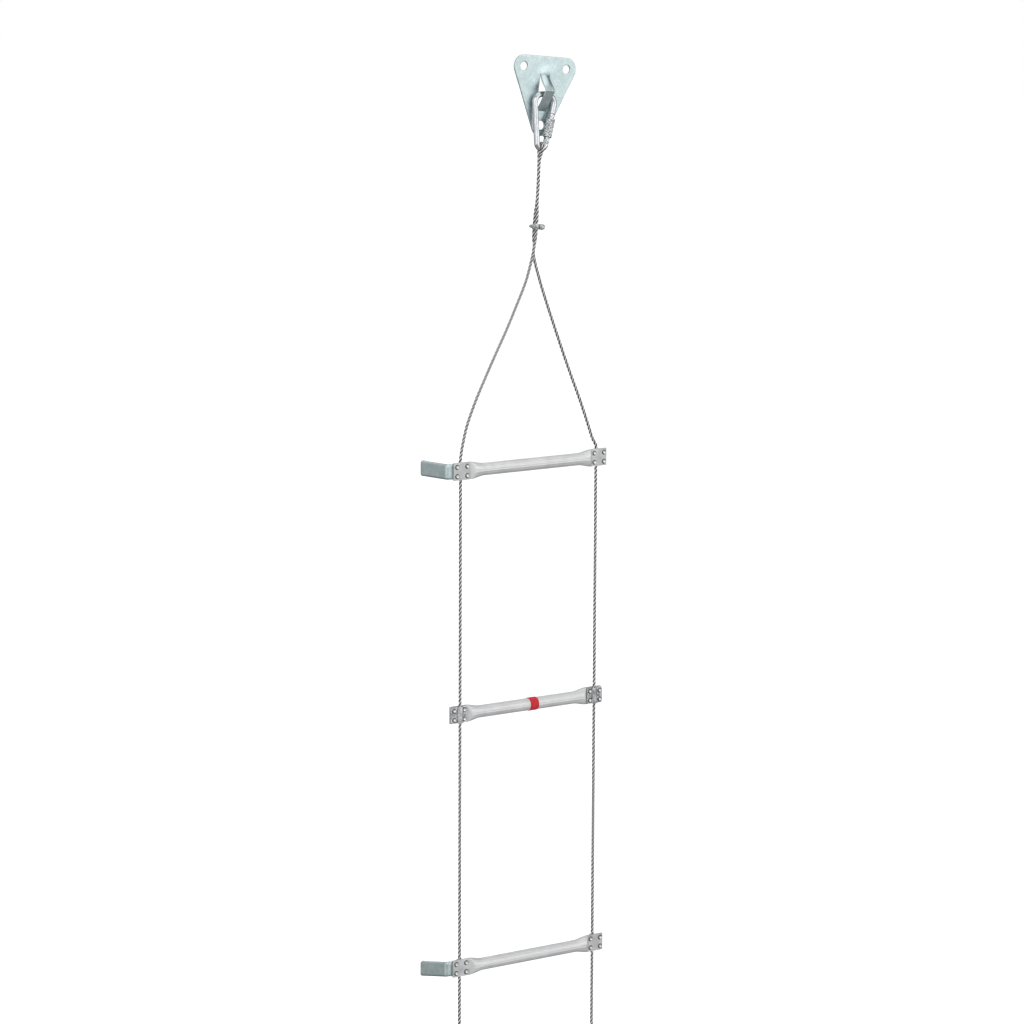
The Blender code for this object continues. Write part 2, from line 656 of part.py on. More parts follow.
bow_spot = seat_spot + carabiner_turn @ Vector((0.0, 0.0, -bow_to_bow))
ladder_x = bow_spot.x + LADDER_SHIFT
pivot_rise = CLAMP_HEIGHT / 2 + STUB + ROPE_R + GAP
first_rung_z = bow_spot.z - HANGER_DROP
eye_r = ROD_R + GAP + ROPE_R
eye_down = (carabiner_turn @ Vector((0.0, 0.0, -1.0)) * Vector((1.0, 0.0, 1.0))).normalized()
hanger_pivot = empty("hanger_pivot", bow_spot)


def hanger_route():
    """The rope's axis, relative to the lower bow, from the left end round the eye to the right end."""
    def strand(rows, side):
        made = []
        for x, z, twist in rows:
            angle = math.radians(twist)
            made.append(Vector((x + side * LEG_OFFSET * math.sin(angle), side * LEG_OFFSET * math.cos(angle), z)))
        return made

    def leg(rows, side, end_x):
        start = Vector((NECK[-1][0], 0.0, NECK[-1][1]))
        end = Vector((end_x, 0.0, first_rung_z + pivot_rise - bow_spot.z))
        made = []
        for across, down in rows:
            spot = start + Vector(((end.x - start.x) * across, 0.0, (end.z - start.z) * down))
            spot.y = side * LEG_OFFSET * max(0.0, 1 - down / 0.5) ** 2
            made.append(spot)
        return [*made, end]

    turn = math.radians(EYE_TURN)
    reach = eye_r / math.cos(turn)
    back = Vector((reach * math.sin(turn), reach * math.cos(turn), 0.0))
    eye = [eye_down * -EYE_RISE * math.sin(math.radians(a)) - back * math.cos(math.radians(a)) for a in range(-9, 190, 18)]
    closed = eye_down * EYE_CLOSES[0]
    rows = [(closed.x, closed.z, EYE_CLOSES[1]), *NECK]
    left_x = ladder_x - ROPE_SPACING / 2 - bow_spot.x
    right_x = ladder_x + ROPE_SPACING / 2 - bow_spot.x
    up = list(reversed(strand(rows, -1) + leg(LEFT_LEG, -1, left_x)))
    down = strand(rows, 1) + leg(RIGHT_LEG, 1, right_x)
    route = smooth_route([*up, *eye, *down], 0.007)
    reach = ROPE_R + GAP
    first, last = route[0], route[-1]
    inner = [p for p in route if (p - first).length > 2 * reach and (p - last).length > 2 * reach]
    return [first + (inner[0] - first).normalized() * reach, *inner, last + (inner[-1] - last).normalized() * reach]


piece("hanger_rope", wire(hanger_route(), ROPE_R, 3), ROPE, hanger_pivot)


# Wire rope clip: the U bolt passes behind the pair of ropes, and the saddle and nuts are in front.

clip_turn = math.radians(CLIP_LEAN)
clip_frame = empty("clip_frame", (CLIP_SPOT[0], 0.0, CLIP_SPOT[1]), (0.0, clip_turn, 0.0), hanger_pivot)
half_spread = CLIP_LEG_SPREAD / 2
saddle_back = -LEG_OFFSET - 0.0002
saddle_front = saddle_back - CLIP_SADDLE_THICK
nut_back = saddle_front - GAP
tip_y = nut_back - NUT_THICK - LEG_TIP
bow = [(x, y + LEG_OFFSET) for x, y in arc((0.0, 0.0), half_spread, 0, 180, 12)]
u_route = [Vector((half_spread, tip_y, 0.0)), *(Vector((x, y, 0.0)) for x, y in bow), Vector((-half_spread, tip_y, 0.0))]
piece("clip_u_bolt", wire(u_route, CLIP_LEG_R, 4), ZINC, clip_frame)
chamfer_x, chamfer_z = 0.002, CLIP_SADDLE_HEIGHT / 2
half_width = CLIP_SADDLE_WIDTH / 2
saddle_outline = [(-half_width, -chamfer_z + chamfer_x), (-half_width + chamfer_x, -chamfer_z),
                  (half_width - chamfer_x, -chamfer_z), (half_width, -chamfer_z + chamfer_x),
                  (half_width, chamfer_z - chamfer_x), (half_width - chamfer_x, chamfer_z),
                  (-half_width + chamfer_x, chamfer_z), (-half_width, chamfer_z - chamfer_x)]
saddle = piece("clip_saddle", prism(saddle_outline, saddle_front, saddle_back, "Y"), ZINC, clip_frame)
cut(saddle, drum(ROPE_R + GAP, -0.01, 0.01, "Z", (0.0, -LEG_OFFSET), 16))
for x in (-half_spread, half_spread):
    cut(saddle, drum(CLIP_LEG_R + GAP, -0.02, 0.02, "Y", (x, 0.0), 12))
for x, name in ((-half_spread, "left"), (half_spread, "right")):
    nut = piece(f"clip_nut_{name}", drum(NUT_FLAT_R / math.cos(math.radians(30)), -NUT_THICK, 0.0, "Y", sides=6), ZINC,
                clip_frame, (x, nut_back, 0.0))
    cut(nut, drum(CLIP_LEG_R + GAP, -0.01, 0.01, "Y", sides=12))


# The ladder, from the top down. Each bay turns where its two ropes leave the rung above.

bay = empty("bay_1_pivot", (ladder_x, ROPE_Y, first_rung_z + pivot_rise))
drop = pivot_rise
count = len(BAYS) + 1
for number in range(1, count + 1):
    last = number == count
    beyond = TAIL_LENGTH if last else CLAMP_HEIGHT / 2 + STUB
    rung_and_clamps(number, bay, drop)
    for x, name in ((-ROPE_SPACING / 2, "left"), (ROPE_SPACING / 2, "right")):
        rope_stretch(f"rope_{name}_{number}", bay, x, drop, beyond)
        if last:
            ring = [(ROPE_R + GAP, 0.0), (FERRULE_R, 0.0), (FERRULE_R, FERRULE_LENGTH), (ROPE_R + GAP, FERRULE_LENGTH)]
            piece(f"ferrule_{name}", turned(ring, 16), ALUMINIUM, bay, (x, 0.0, -drop - TAIL_LENGTH))
    if number == BAND_RUNG:
        side = -1 if number in SPACER_RUNGS else 1
        inner = TUBE_R + BAND_PLAY
        ring = [(inner, -BAND_WIDTH / 2), (inner + BAND_WALL, -BAND_WIDTH / 2), (inner + BAND_WALL, BAND_WIDTH / 2),
                (inner, BAND_WIDTH / 2)]
        piece("red_band", turned(ring, 2 * RUNG_SIDES), RED, bay, (BAND_OFFSET, side * rung_offset, -drop),
              (0.0, math.pi / 2, 0.0))
    if not last:
        bay = empty(f"bay_{number + 1}_pivot", (0.0, 0.0, -drop - pivot_rise), parent=bay)
        drop = BAYS[number - 1] - pivot_rise
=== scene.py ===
import math

import bmesh
import bpy
import numpy as np
from mathutils import Matrix, Vector
from mathutils.geometry import delaunay_2d_cdt


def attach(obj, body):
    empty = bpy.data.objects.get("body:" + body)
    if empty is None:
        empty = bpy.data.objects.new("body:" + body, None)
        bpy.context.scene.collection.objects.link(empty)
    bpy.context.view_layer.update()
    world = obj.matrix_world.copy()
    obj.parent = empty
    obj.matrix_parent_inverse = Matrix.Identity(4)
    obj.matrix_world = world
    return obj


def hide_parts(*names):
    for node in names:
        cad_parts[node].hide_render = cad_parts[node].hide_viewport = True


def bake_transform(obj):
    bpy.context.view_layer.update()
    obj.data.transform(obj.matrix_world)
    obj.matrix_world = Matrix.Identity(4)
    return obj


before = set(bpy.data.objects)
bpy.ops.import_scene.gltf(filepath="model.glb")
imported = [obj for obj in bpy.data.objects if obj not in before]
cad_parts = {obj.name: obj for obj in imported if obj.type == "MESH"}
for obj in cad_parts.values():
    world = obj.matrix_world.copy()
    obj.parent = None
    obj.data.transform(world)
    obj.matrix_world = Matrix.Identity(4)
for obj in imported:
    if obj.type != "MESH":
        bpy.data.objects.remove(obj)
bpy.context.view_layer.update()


# Camera: it stands four and a half metres off, to the left of the ladder and a little above its top. It looks
# nine and a half degrees down through a long lens, so the rungs climb towards the right of the picture.
camera_at = np.array((-2.6532, -3.7272, 0.2473))
heading, fall, cant = math.radians(-35.0), 0.1677, 0.00424
forward = np.array((-math.sin(heading) * math.cos(fall), math.cos(heading) * math.cos(fall), -math.sin(fall)))
level = np.array((math.cos(heading), math.sin(heading), 0.0))
upright = np.cross(level, forward)
right = math.cos(cant) * level + math.sin(cant) * upright
above = math.cos(cant) * upright - math.sin(cant) * level


def placed(name, data):
    """A new object in the scene."""
    made = bpy.data.objects.new(name, data)
    bpy.context.scene.collection.objects.link(made)
    return made


camera = placed("camera", bpy.data.cameras.new("camera"))
camera.data.lens = 136.83
camera.data.sensor_width = 36.0
camera.data.clip_end = 60.0
placing = np.eye(4)
placing[:3] = np.column_stack((right, above, -forward, camera_at))
camera.matrix_world = Matrix(placing)
bpy.context.scene.camera = camera


# Wire ropes: galvanised steel, 4 mm thick, three strands of fine wires laid to the right. One rope runs from
# the first rung's left clamp over the carabiner and back to its right clamp, and the two sides go on down
# rung by rung.
rope_r, rope_lay, rope_ring = 0.002, 0.0156, 0.0008
strands, strand_points, strand_wires = 3, 36, 28.0
strand_r = rope_r / (1 + 1 / math.sin(math.pi / strands))
heart_r, fold_long, fold_below = 0.0012, 0.015, rope_r + 0.0003
rope_x, rope_y = {"left": -0.125518, "right": 0.070482}, -0.012
rung_z = {1: -0.464747, 2: -0.756747, 3: -1.064747, 4: -1.364747}
above_rung, below_rung, below_last = 0.01305, 0.01075, 0.026
bow_spot = np.array((-0.012818, rope_y, -0.092847))


def distances(line):
    """How far along the line each of its points is."""
    return np.r_[0.0, np.cumsum(np.linalg.norm(np.diff(line, axis=0), axis=1))]


def directions(line):
    """The line's direction at each of its points, from the points beside it."""
    slope = np.gradient(line, axis=0)
    return slope / np.linalg.norm(slope, axis=1, keepdims=True)


def even(line, step):
    """The same line with its points an even step apart, found by their distance along it."""
    reach = distances(line)
    steps = np.linspace(0.0, reach[-1], max(2, round(reach[-1] / step)) + 1)
    return np.stack([np.interp(steps, reach, line[:, k]) for k in range(line.shape[1])], -1)


def eased(points, step):
    """A smooth curve through the points.

    Between b and c it is the cubic that passes both, with slopes of (c - a) / 2 and (d - b) / 2.
    """
    points = np.array(points)
    ends = np.vstack((2 * points[0] - points[1], points, 2 * points[-1] - points[-2]))
    place = np.linspace(0, len(points) - 1, 24 * len(points))
    first = np.minimum(place.astype(int), len(points) - 2)
    t = (place - first)[:, None]
    a, b, c, d = (ends[first + k] for k in range(4))
    line = 0.5 * (2 * b + (c - a) * t + (2 * a - 5 * b + 4 * c - d) * t**2 + (3 * b - a - 3 * c + d) * t**3)
    return even(line, step)


def carried(line, section, side):
    """A section's points (columns, 2), or one set for each point of the line, carried along it.

    The first coordinate goes along side, less its part along the line, and the second is square to both.
    """
    along = directions(line)
    across = side - along * (along @ np.array(side))[:, None]
    across /= np.linalg.norm(across, axis=1, keepdims=True)
    up = np.cross(along, across)
    section = np.broadcast_to(section, (len(line), *section.shape[-2:]))
    return line[:, None] + section[..., :1] * across[:, None] + section[..., 1:] * up[:, None]


def squares(grid):
    """The four corners of each square between a grid's rows and columns."""
    return np.stack((grid[:-1, :-1], grid[:-1, 1:], grid[1:, 1:], grid[1:, :-1]), 2)


def shell(*grids, loop=False, uv=None):
    """A closed mesh over grids of points, each (rows, columns, 3), joined along rows and columns.

    Columns close on themselves. Rows do where loop is set, and elsewhere one face closes each end. Each
    grid's volume, the sum of a . (b x c) over its faces, is made positive, so the faces point outwards.
    """
    mesh = bpy.data.meshes.new("shell")
    spots, corners, sizes, flat = [], [], [], []
    base = 0
    for grid in grids:
        rows, columns = grid.shape[:2]
        number = np.arange(rows * columns).reshape(rows, columns)
        number = np.vstack((number, number[:1])) if loop else number
        number = np.hstack((number, number[:, :1]))
        place = uv or np.meshgrid(np.arange(columns + 1) / columns, np.arange(len(number)) / len(number))
        quads, quad_uv = squares(number).reshape(-1, 4), squares(np.stack(place, -1)).reshape(-1, 4, 2)
        ends = [] if loop else [number[0, :-1][::-1], number[-1, :-1]]
        fans = [np.stack(np.broadcast_arrays(e[0], e[1:-1], e[2:]), -1) for e in ends]
        spot = grid.reshape(-1, 3)
        trios = np.vstack((quads[:, :3], quads[:, [0, 2, 3]], *fans))
        a, b, c = np.moveaxis(spot[trios] - spot.mean(0), 1, 0)
        if (a * np.cross(b, c)).sum() < 0:
            quads, quad_uv, ends = quads[:, ::-1], quad_uv[:, ::-1], [e[::-1] for e in ends]
        spots.append(spot)
        corners += [base + quads.ravel(), *(base + e for e in ends)]
        sizes += [np.full(len(quads), 4), *([len(e)] for e in ends)]
        flat += [quad_uv.reshape(-1, 2), *(np.zeros((len(e), 2)) for e in ends)]
        base += len(spot)
    corners, sizes = np.concatenate(corners), np.concatenate(sizes)
    mesh.vertices.add(base)
    mesh.vertices.foreach_set("co", np.concatenate(spots).ravel())
    mesh.loops.add(len(corners))
    mesh.loops.foreach_set("vertex_index", corners)
    mesh.polygons.add(len(sizes))
    mesh.polygons.foreach_set("loop_start", np.r_[0, np.cumsum(sizes)[:-1]])
    mesh.update(calc_edges=True)
    mesh.uv_layers.new(name="UVMap").data.foreach_set("uv", np.concatenate(flat).ravel())
    return mesh


def fitted(name, mesh, finish, nodes, body=None, sharp=38):
    """One finished piece: its material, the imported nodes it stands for, and the body it rides on."""
    mesh.name = name
    mesh.materials.append(finish)
    mesh.shade_smooth()
    mesh.set_sharp_from_angle(angle=math.radians(sharp))
    piece = placed(name, mesh)
    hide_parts(*nodes)
    if body:
        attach(piece, body)
    return piece


class Flow:
    """A value on its way through a material. Its operators add Math nodes."""

    def __init__(self, tree, socket=None):
        self.tree, self.socket = tree, socket

    def node(self, kind, sockets=None, output=0, **settings):
        """Any node, with its sockets' values or links by name or number, as the flow from one output."""
        made = self.tree.nodes.new(kind)
        for name, value in settings.items():
            setattr(made, name, value)
        for name, value in (sockets or {}).items():
            if isinstance(value, Flow):
                self.tree.links.new(value.socket, made.inputs[name])
            else:
                made.inputs[name].default_value = value
        return Flow(self.tree, made.outputs[output])

    def maths(self, operation, *values):
        return self.node("ShaderNodeMath", dict(enumerate(values)), operation=operation)

    def __add__(self, other):
        return self.maths("ADD", self, other)

    def __sub__(self, other):
        return self.maths("SUBTRACT", self, other)

    def __rsub__(self, other):
        return self.maths("SUBTRACT", other, self)

    def __mul__(self, other):
        return self.maths("MULTIPLY", self, other)

    def __abs__(self):
        return self.maths("ABSOLUTE", self)

    __radd__, __rmul__ = __add__, __mul__

    def fraction(self):
        return self.maths("FRACT", self)

    def part(self, k):
        """One of a vector's three coordinates."""
        return self.node("ShaderNodeSeparateXYZ", {0: self}, k)

    def here(self):
        """A point's place on its own object."""
        return self.node("ShaderNodeTexCoord", {}, 3)

    def noise(self, scale, detail, roughness=0.5, at=None):
        """A noise of 0 to 1 over the object's own coordinates, or over others."""
        return self.node("ShaderNodeTexNoise", {"Vector": at or self.here(), "Scale": scale, "Detail": detail,
                                                "Roughness": roughness})

    def ramp(self, low, high):
        """0 up to low, 1 from high, and a smooth step between."""
        return self.node("ShaderNodeMapRange", {"Value": self, "From Min": low, "From Max": high},
                         interpolation_type="SMOOTHSTEP")

    def blend(self, first, second):
        """The first colour where this value is 0, the second where it is 1."""
        return self.node("ShaderNodeMix", {0: self, 6: first, 7: second}, 2, data_type="RGBA")

    def into(self, shader, name):
        self.tree.links.new(self.socket, shader.inputs[name])

    def raised(self, shader, height):
        """This value as relief on the shader's surface, height metres from its 0 to its 1."""
        bump = self.node("ShaderNodeBump", {"Strength": 1.0, "Distance": height, "Height": self})
        bump.into(shader, "Normal")


def finish_of(name, **even_values):
    """A new material, its Principled shader and the start of a flow; even_values are the same all over."""
    material = bpy.data.materials.new(name)
    material.use_nodes = True
    shader = material.node_tree.nodes["Principled BSDF"]
    for socket, value in even_values.items():
        shader.inputs[socket.replace("_", " ")].default_value = value
    return material, shader, Flow(material.node_tree)


rope_finish, shader, flow = finish_of("galvanised_wire_rope", Metallic=0.92)
spot = flow.node("ShaderNodeUVMap", uv_map="UVMap")
across, turned = spot.part(0), spot.part(1)
wires = 1.0 - abs((across * strand_wires).fraction() - 0.5) * 2.0
groove = abs(((across - turned) * float(strands)).fraction() - 0.5) * 2.0
dust = flow.noise(420.0, 3.0)
# Painted shade: the grooves between the strands go near black and the gaps between the wires a little darker,
# standing in for the shade in the rope's hollows. The dust noise is a tone that varies at random.
tone = groove.ramp(0.3, 0.7) + (1.0 - wires.ramp(0.0, 0.55)) * 0.12 + (dust - 0.5) * 0.3
tone.blend((0.86, 0.86, 0.86, 1.0), (0.03, 0.03, 0.03, 1.0)).into(shader, "Base Color")
(groove * 0.2 + dust * 0.2 + 0.24).into(shader, "Roughness")
wires.raised(shader, 0.00012)


def laid(line, start):
    """A three-strand rope along a line, as points, their UV places and its length.

    Each strand is a circle of radius s that touches its two neighbours and the rope's outside. With its
    middle m from the rope's, its outline is m cos a + sqrt(s**2 - (m sin a)**2) out at an angle a. The three
    turn once in each lay, and a core fills the valleys between them up to heart_r. U counts turns round the
    rope and V the turns of its strands, so U - V stays put on a strand.
    """
    reach = distances(line)
    turns = (reach / rope_lay + start)[:, None]
    share = np.arange(strand_points + 1) / strand_points
    off = np.abs(share * strands % 1 - 0.5) * 2 * math.pi / strands
    middle_r = rope_r - strand_r
    radius = middle_r * np.cos(off) + np.sqrt(np.maximum(strand_r**2 - (middle_r * np.sin(off)) ** 2, 0))
    angle = 2 * math.pi * (share + turns)
    radius = np.maximum(radius, heart_r)
    section = np.stack((radius * np.cos(angle), radius * np.sin(angle)), -1)[:, :-1]
    places = (share + turns, np.broadcast_to(turns, angle.shape))
    return carried(line, section, (1.0, 0.0, 0.0)), places, reach[-1]


# The rows are the rope's places as the model has them: below the carabiner's lower bow for the neck, with the
# pair's twist in degrees, and as shares of the way across and down to the first rung for the two legs.
neck = ((-0.0036, -0.0420, 30.0), (-0.0050, -0.0620, 30.0), (-0.0064, -0.0792, 0.0), (-0.0082, -0.1032, 0.0),
        (-0.0086, -0.1120, 30.0))
left_leg = ((0.040, 0.060), (0.120, 0.173), (0.243, 0.285), (0.374, 0.396), (0.520, 0.507), (0.663, 0.618),
            (0.799, 0.729), (0.913, 0.841), (0.976, 0.940))
right_leg = ((0.006, 0.060), (0.098, 0.178), (0.212, 0.296), (0.337, 0.415), (0.467, 0.535), (0.604, 0.655),
             (0.746, 0.776), (0.876, 0.898), (0.934, 0.955))
eye_rise, eye_half, eye_yaw = 0.0063, 0.0058, math.radians(10.0)
eye_down = np.array((-0.156434, 0.0, -0.98356))
eye_down /= np.linalg.norm(eye_down)
eye_back = eye_half * np.array((math.tan(eye_yaw), 1.0, 0.0))
pair_apart = rope_r + 0.00025
eye_turn = np.radians(np.arange(-9, 190, 18))[:, None]
eye = -eye_down * eye_rise * np.sin(eye_turn) - eye_back * np.cos(eye_turn)
neck = np.array(((*(eye_down[[0, 2]] * 0.0145), 26.0), *neck))


def side_of_hanger(side, leg, x):
    """One side of the hanger, from the eye down: its neck, its leg and its straight end in the clamp."""
    off, twist = side * pair_apart, np.radians(neck[:, 2])
    upper = np.stack((neck[:, 0] + off * np.sin(twist), off * np.cos(twist), neck[:, 1]), -1)
    start, end = upper[-1] * (1, 0, 1), np.array((x, 0.0, rung_z[1] + above_rung)) - bow_spot * (1, 0, 1)
    start[0] = neck[-1, 0]
    share = np.insert(np.array(leg), 1, 0.0, axis=1)
    lower = start + (end - start) * share
    lower[:, 1] = off * np.maximum(0, 1 - share[:, 2] / 0.5) ** 2
    last = end - np.array((0.0, 0.0, above_rung + below_rung))
    return np.vstack((upper, lower, end, (end + last) / 2, last))


hanger_line = bow_spot + eased(np.vstack((side_of_hanger(-1, left_leg, rope_x["left"])[::-1], eye,
                                          side_of_hanger(1, right_leg, rope_x["right"]))), rope_ring)
rope_end_z = rung_z[1] - below_rung
grid, uv, hanger_length = laid(hanger_line, rope_end_z / rope_lay)
hanger = fitted("hanger_wire_rope", shell(grid, uv=uv), rope_finish,
                ("hanger_rope", "rope_left_1", "rope_right_1"), sharp=80)
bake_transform(hanger)

side_ropes = {}
for number, above_body in ((2, "rung_1"), (3, "bay_2"), (4, "bay_3")):
    top = rung_z[number - 1] - below_rung
    foot = rung_z[number] - (below_rung if number < 4 else below_last)
    for side, x in rope_x.items():
        start = -top / rope_lay + (0.0 if side == "left" else (hanger_length + 2 * rope_end_z) / rope_lay)
        line = even(np.array(((x, rope_y, top), (x, rope_y, foot))), rope_ring)
        grid, uv, length = laid(line, start)
        name = f"{side}_wire_rope_{number}"
        rope = fitted(name, shell(grid, uv=uv), rope_finish, (f"rope_{side}_{number}",),
                      sharp=80)
        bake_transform(rope)
        side_ropes[number, side] = rope, line, length


# Ferrules: soft aluminium sleeves on the two cut ends. The press that closes them leaves three shallow
# waists. They hold the strands together and keep the last rung's clamps from being the ropes' only stop.
ferrule_r, ferrule_long, ferrule_edge, waist = 0.004, 0.014, 0.0006, 0.885
rung_mid_x = (rope_x["left"] + rope_x["right"]) / 2


def rounded(distance, radius):
    """How far an edge of radius r falls back at a distance d from its end: r - sqrt(r**2 - (r - d)**2)."""
    return radius - np.sqrt(np.maximum(0, radius**2 - np.maximum(0, radius - distance) ** 2))


def ring_of(count):
    """Points round a circle of radius 1."""
    angle = 2 * math.pi * np.arange(count) / count
    return np.stack((np.cos(angle), np.sin(angle)), -1)


def spun(radii, heights, around=64):
    """A closed profile turned round Z: radii (rows,) or (rows, columns) at the given heights."""
    radii = np.broadcast_to(np.reshape(radii, (len(heights), -1)), (len(heights), around))
    ring, rise = ring_of(around), np.broadcast_to(np.reshape(heights, (-1, 1)), radii.shape)
    return np.stack((radii * ring[:, 0], radii * ring[:, 1], rise), -1)


def bored(bore_r, outer, heights):
    """A turned part with a straight bore: (rows, columns) of outer radii, at the given heights."""
    bore = np.full((1, outer.shape[1]), bore_r)
    return spun(np.vstack((bore, outer, bore)), np.r_[heights[0], heights, heights[-1]], outer.shape[1])


aluminium_finish, shader, flow = finish_of("mill_aluminium", Metallic=0.5)
drawn = flow.node("ShaderNodeMapping", {"Vector": flow.here(), "Scale": (14.0, 900.0, 900.0)})
draw_lines = flow.noise(1.0, 3.0, 0.6, drawn)
cloudy = flow.noise(95.0, 3.0)
tone = draw_lines * 0.55 + cloudy * 0.45
pressed = abs(flow.here().part(0) - rung_mid_x).ramp(0.0865, 0.0885)
bare = tone.ramp(0.3, 0.7).blend((0.70, 0.705, 0.71, 1.0), (0.84, 0.845, 0.85, 1.0))
darker = pressed * 0.45 + (0.5 - cloudy) * pressed * 1.2
darker.blend(bare, (0.40, 0.405, 0.41, 1.0)).into(shader, "Base Color")
(draw_lines * 0.16 + cloudy * 0.1 + 0.32).into(shader, "Roughness")
draw_lines.raised(shader, 0.00004)

height = np.linspace(0.0, ferrule_long, 43)
press = np.clip(np.sin((height / ferrule_long * 3 - 0.25) * 2 * math.pi), 0, 1)[:, None] ** 0.6
outer = (ferrule_r - rounded(np.minimum(height, ferrule_long - height), ferrule_edge))[:, None]
facet = 1 / np.cos((np.arange(64) / 64 * 6 % 1 - 0.5) * math.pi / 3)
outer = outer * (1 - press * (1 - waist * facet))
for side, x in rope_x.items():
    grid = bored(rope_r, outer, height) + (x, rope_y, rung_z[4] - below_last)
    name = f"pressed_ferrule_{side}"
    ferrule = fitted(name, shell(grid, loop=True), aluminium_finish, (f"ferrule_{side}",),
                     "bay_4")
    for number in (2, 3, 4):
        rope, line, length = side_ropes[number, side]
        ends = {"far_end": "fitting", "with_pieces": [ferrule]} if number == 4 else {"far_end": "object"}


# Wall plate: one pressing of 2.4 mm zinc-plated sheet. The press rounds its edges, punches three screw holes
# and a window, and draws the strip between the window's sides out into the bridge that holds the carabiner.
plate_t, plate_turn, plate_edge_r = 0.0024, math.radians(5.5), 0.0006
hole_half, hole_drop, hole_r = 0.0305, 0.067, 0.00525
corner_r, tip_r = 0.0135, 0.0128
hole_lean = math.atan2(hole_half, hole_drop)
plate_lean = hole_lean + math.asin((corner_r - tip_r) / math.hypot(hole_half, hole_drop))
bridge_half, bridge_t, bridge_edge = 0.00625, 0.0022, 0.0006
bridge_top, bridge_crease, bridge_foot, bridge_out = 0.0035, 0.026, 0.0505, 0.0145
window_half, window_top, window_low = bridge_half + 0.0006, -0.0078, -bridge_foot + 0.0006
window_bend = 0.0008
swell_out, swell_at, swell_wide, swell_up, swell_down = 0.0013, -0.0065, 0.0085, 0.0062, 0.011


def arc(centre, radius, start, end, count):
    """Points on a circle from one angle to another, both in degrees."""
    angle = np.radians(np.linspace(start, end, count))
    return np.array(centre) + radius * np.stack((np.cos(angle), np.sin(angle)), -1)


def rims(low, high, edge, count):
    """Quarter circles round a sheet's two rims, from low to high.

    The first result is how far each point is drawn in, edge (1 - sin a). The second is its depth, which is
    edge (1 - cos a) from the nearer face.
    """
    turn = np.radians(np.linspace(0, 90, count))
    inset, depth = edge * (1 - np.sin(turn)), edge * (1 - np.cos(turn))
    return np.r_[inset, inset[::-1]], np.r_[low + depth, (high - depth)[::-1]]


def plate_line(inset):
    """The band round the three screw holes, drawn in by inset: three arcs joined by straight tangents."""
    lean = math.degrees(plate_lean)
    return np.vstack((arc((hole_half, 0), corner_r - inset, -lean, 90, 26),
                      arc((-hole_half, 0), corner_r - inset, 90, 180 + lean, 26),
                      arc((0, -hole_drop), tip_r - inset, 180 + lean, 360 - lean, 30)))


def hole_line(centre, inset):
    """A screw hole's edge, let out by inset."""
    return np.array(centre) + (hole_r + inset) * ring_of(40)


def window_line(inset):
    """The window under the bridge: a rectangle with rounded corners, let out by inset."""
    side, top, low = window_half - window_bend, window_top - window_bend, window_low + window_bend
    corners = ((side, top, 0), (-side, top, 90), (-side, low, 180), (side, low, 270))
    return np.vstack([arc((x, z), window_bend + inset, turn, turn + 90, 6) for x, z, turn in corners])


def swell(x, z):
    """How far the press has drawn the sheet out round the bridge's root.

    It is a bell, exp(-(x / wide)**2 - (z / tall)**2), 1.3 mm high, and falls off faster upwards than down.
    """
    tall = np.where(z > swell_at, swell_up, swell_down)
    return swell_out * np.exp(-((x / swell_wide) ** 2) - ((z - swell_at) / tall) ** 2)


# Quarter circles carried round the sheet's outline, its holes and its window round off their edges.
holes = ((-hole_half, 0.0), (hole_half, 0.0), (0.0, -hole_drop))
edge_lines = [plate_line, *(lambda inset, c=c: hole_line(c, inset) for c in holes), window_line]
insets, depths = rims(-plate_t, 0.0, plate_edge_r, 6)
patches = []
for line_at in edge_lines:
    rows = np.stack([np.insert(line_at(inset), 1, depth, axis=1) for inset, depth in zip(insets, depths)])
    count = rows.shape[1]
    index = np.arange(rows.shape[0] * count).reshape(-1, count)
    patches.append((rows.reshape(-1, 3), squares(np.hstack((index, index[:, :1]))).reshape(-1, 4)))
loops = [line_at(plate_edge_r) for line_at in edge_lines]
starts = np.r_[0, np.cumsum([len(loop) for loop in loops])]
edges = [(int(a + i), int(a + (i + 1) % (b - a))) for a, b in zip(starts, starts[1:]) for i in range(b - a)]
# Between its edges, the sheet has a staggered grid of spots for the swell to move.
grid_step = 0.0011
gx, gz = np.meshgrid(np.arange(-0.045, 0.0455, grid_step), np.arange(-0.081, 0.0145, grid_step))
gx = gx + grid_step / 2 * (np.arange(gx.shape[0]) % 2)[:, None]
inner_spots = np.stack((gx.ravel(), gz.ravel()), -1)


def in_opening(spots, room):
    """True where a spot is in the window or a screw hole, each let out by room."""
    x, z = np.abs(spots[:, 0]), spots[:, 1]
    inside = (x < window_half + room) & (z < window_top + room) & (z > window_low - room)
    for centre in holes:
        inside |= np.linalg.norm(spots - centre, axis=1) <= hole_r + room
    return inside


def inside_sheet(spots, room):
    """True where a spot is on the sheet, at least room away from its edges."""
    flank = np.abs(spots[:, 0]) * math.cos(plate_lean) - (spots[:, 1] + hole_drop) * math.sin(plate_lean)
    inside = (spots[:, 1] < corner_r - room) & (flank < tip_r - room)
    for side in (-1, 1):
        corner = spots - (side * hole_half, 0.0)
        past = (corner[:, 0] * side > 0) & (corner[:, 1] > -math.tan(plate_lean) * corner[:, 0] * side)
        inside &= ~past | (np.linalg.norm(corner, axis=1) < corner_r - room)
    tip = spots + (0.0, hole_drop)
    below = tip[:, 1] < -np.abs(tip[:, 0]) * math.tan(plate_lean)
    inside &= ~below | (np.linalg.norm(tip, axis=1) < tip_r - room)
    return inside & ~in_opening(spots, room)


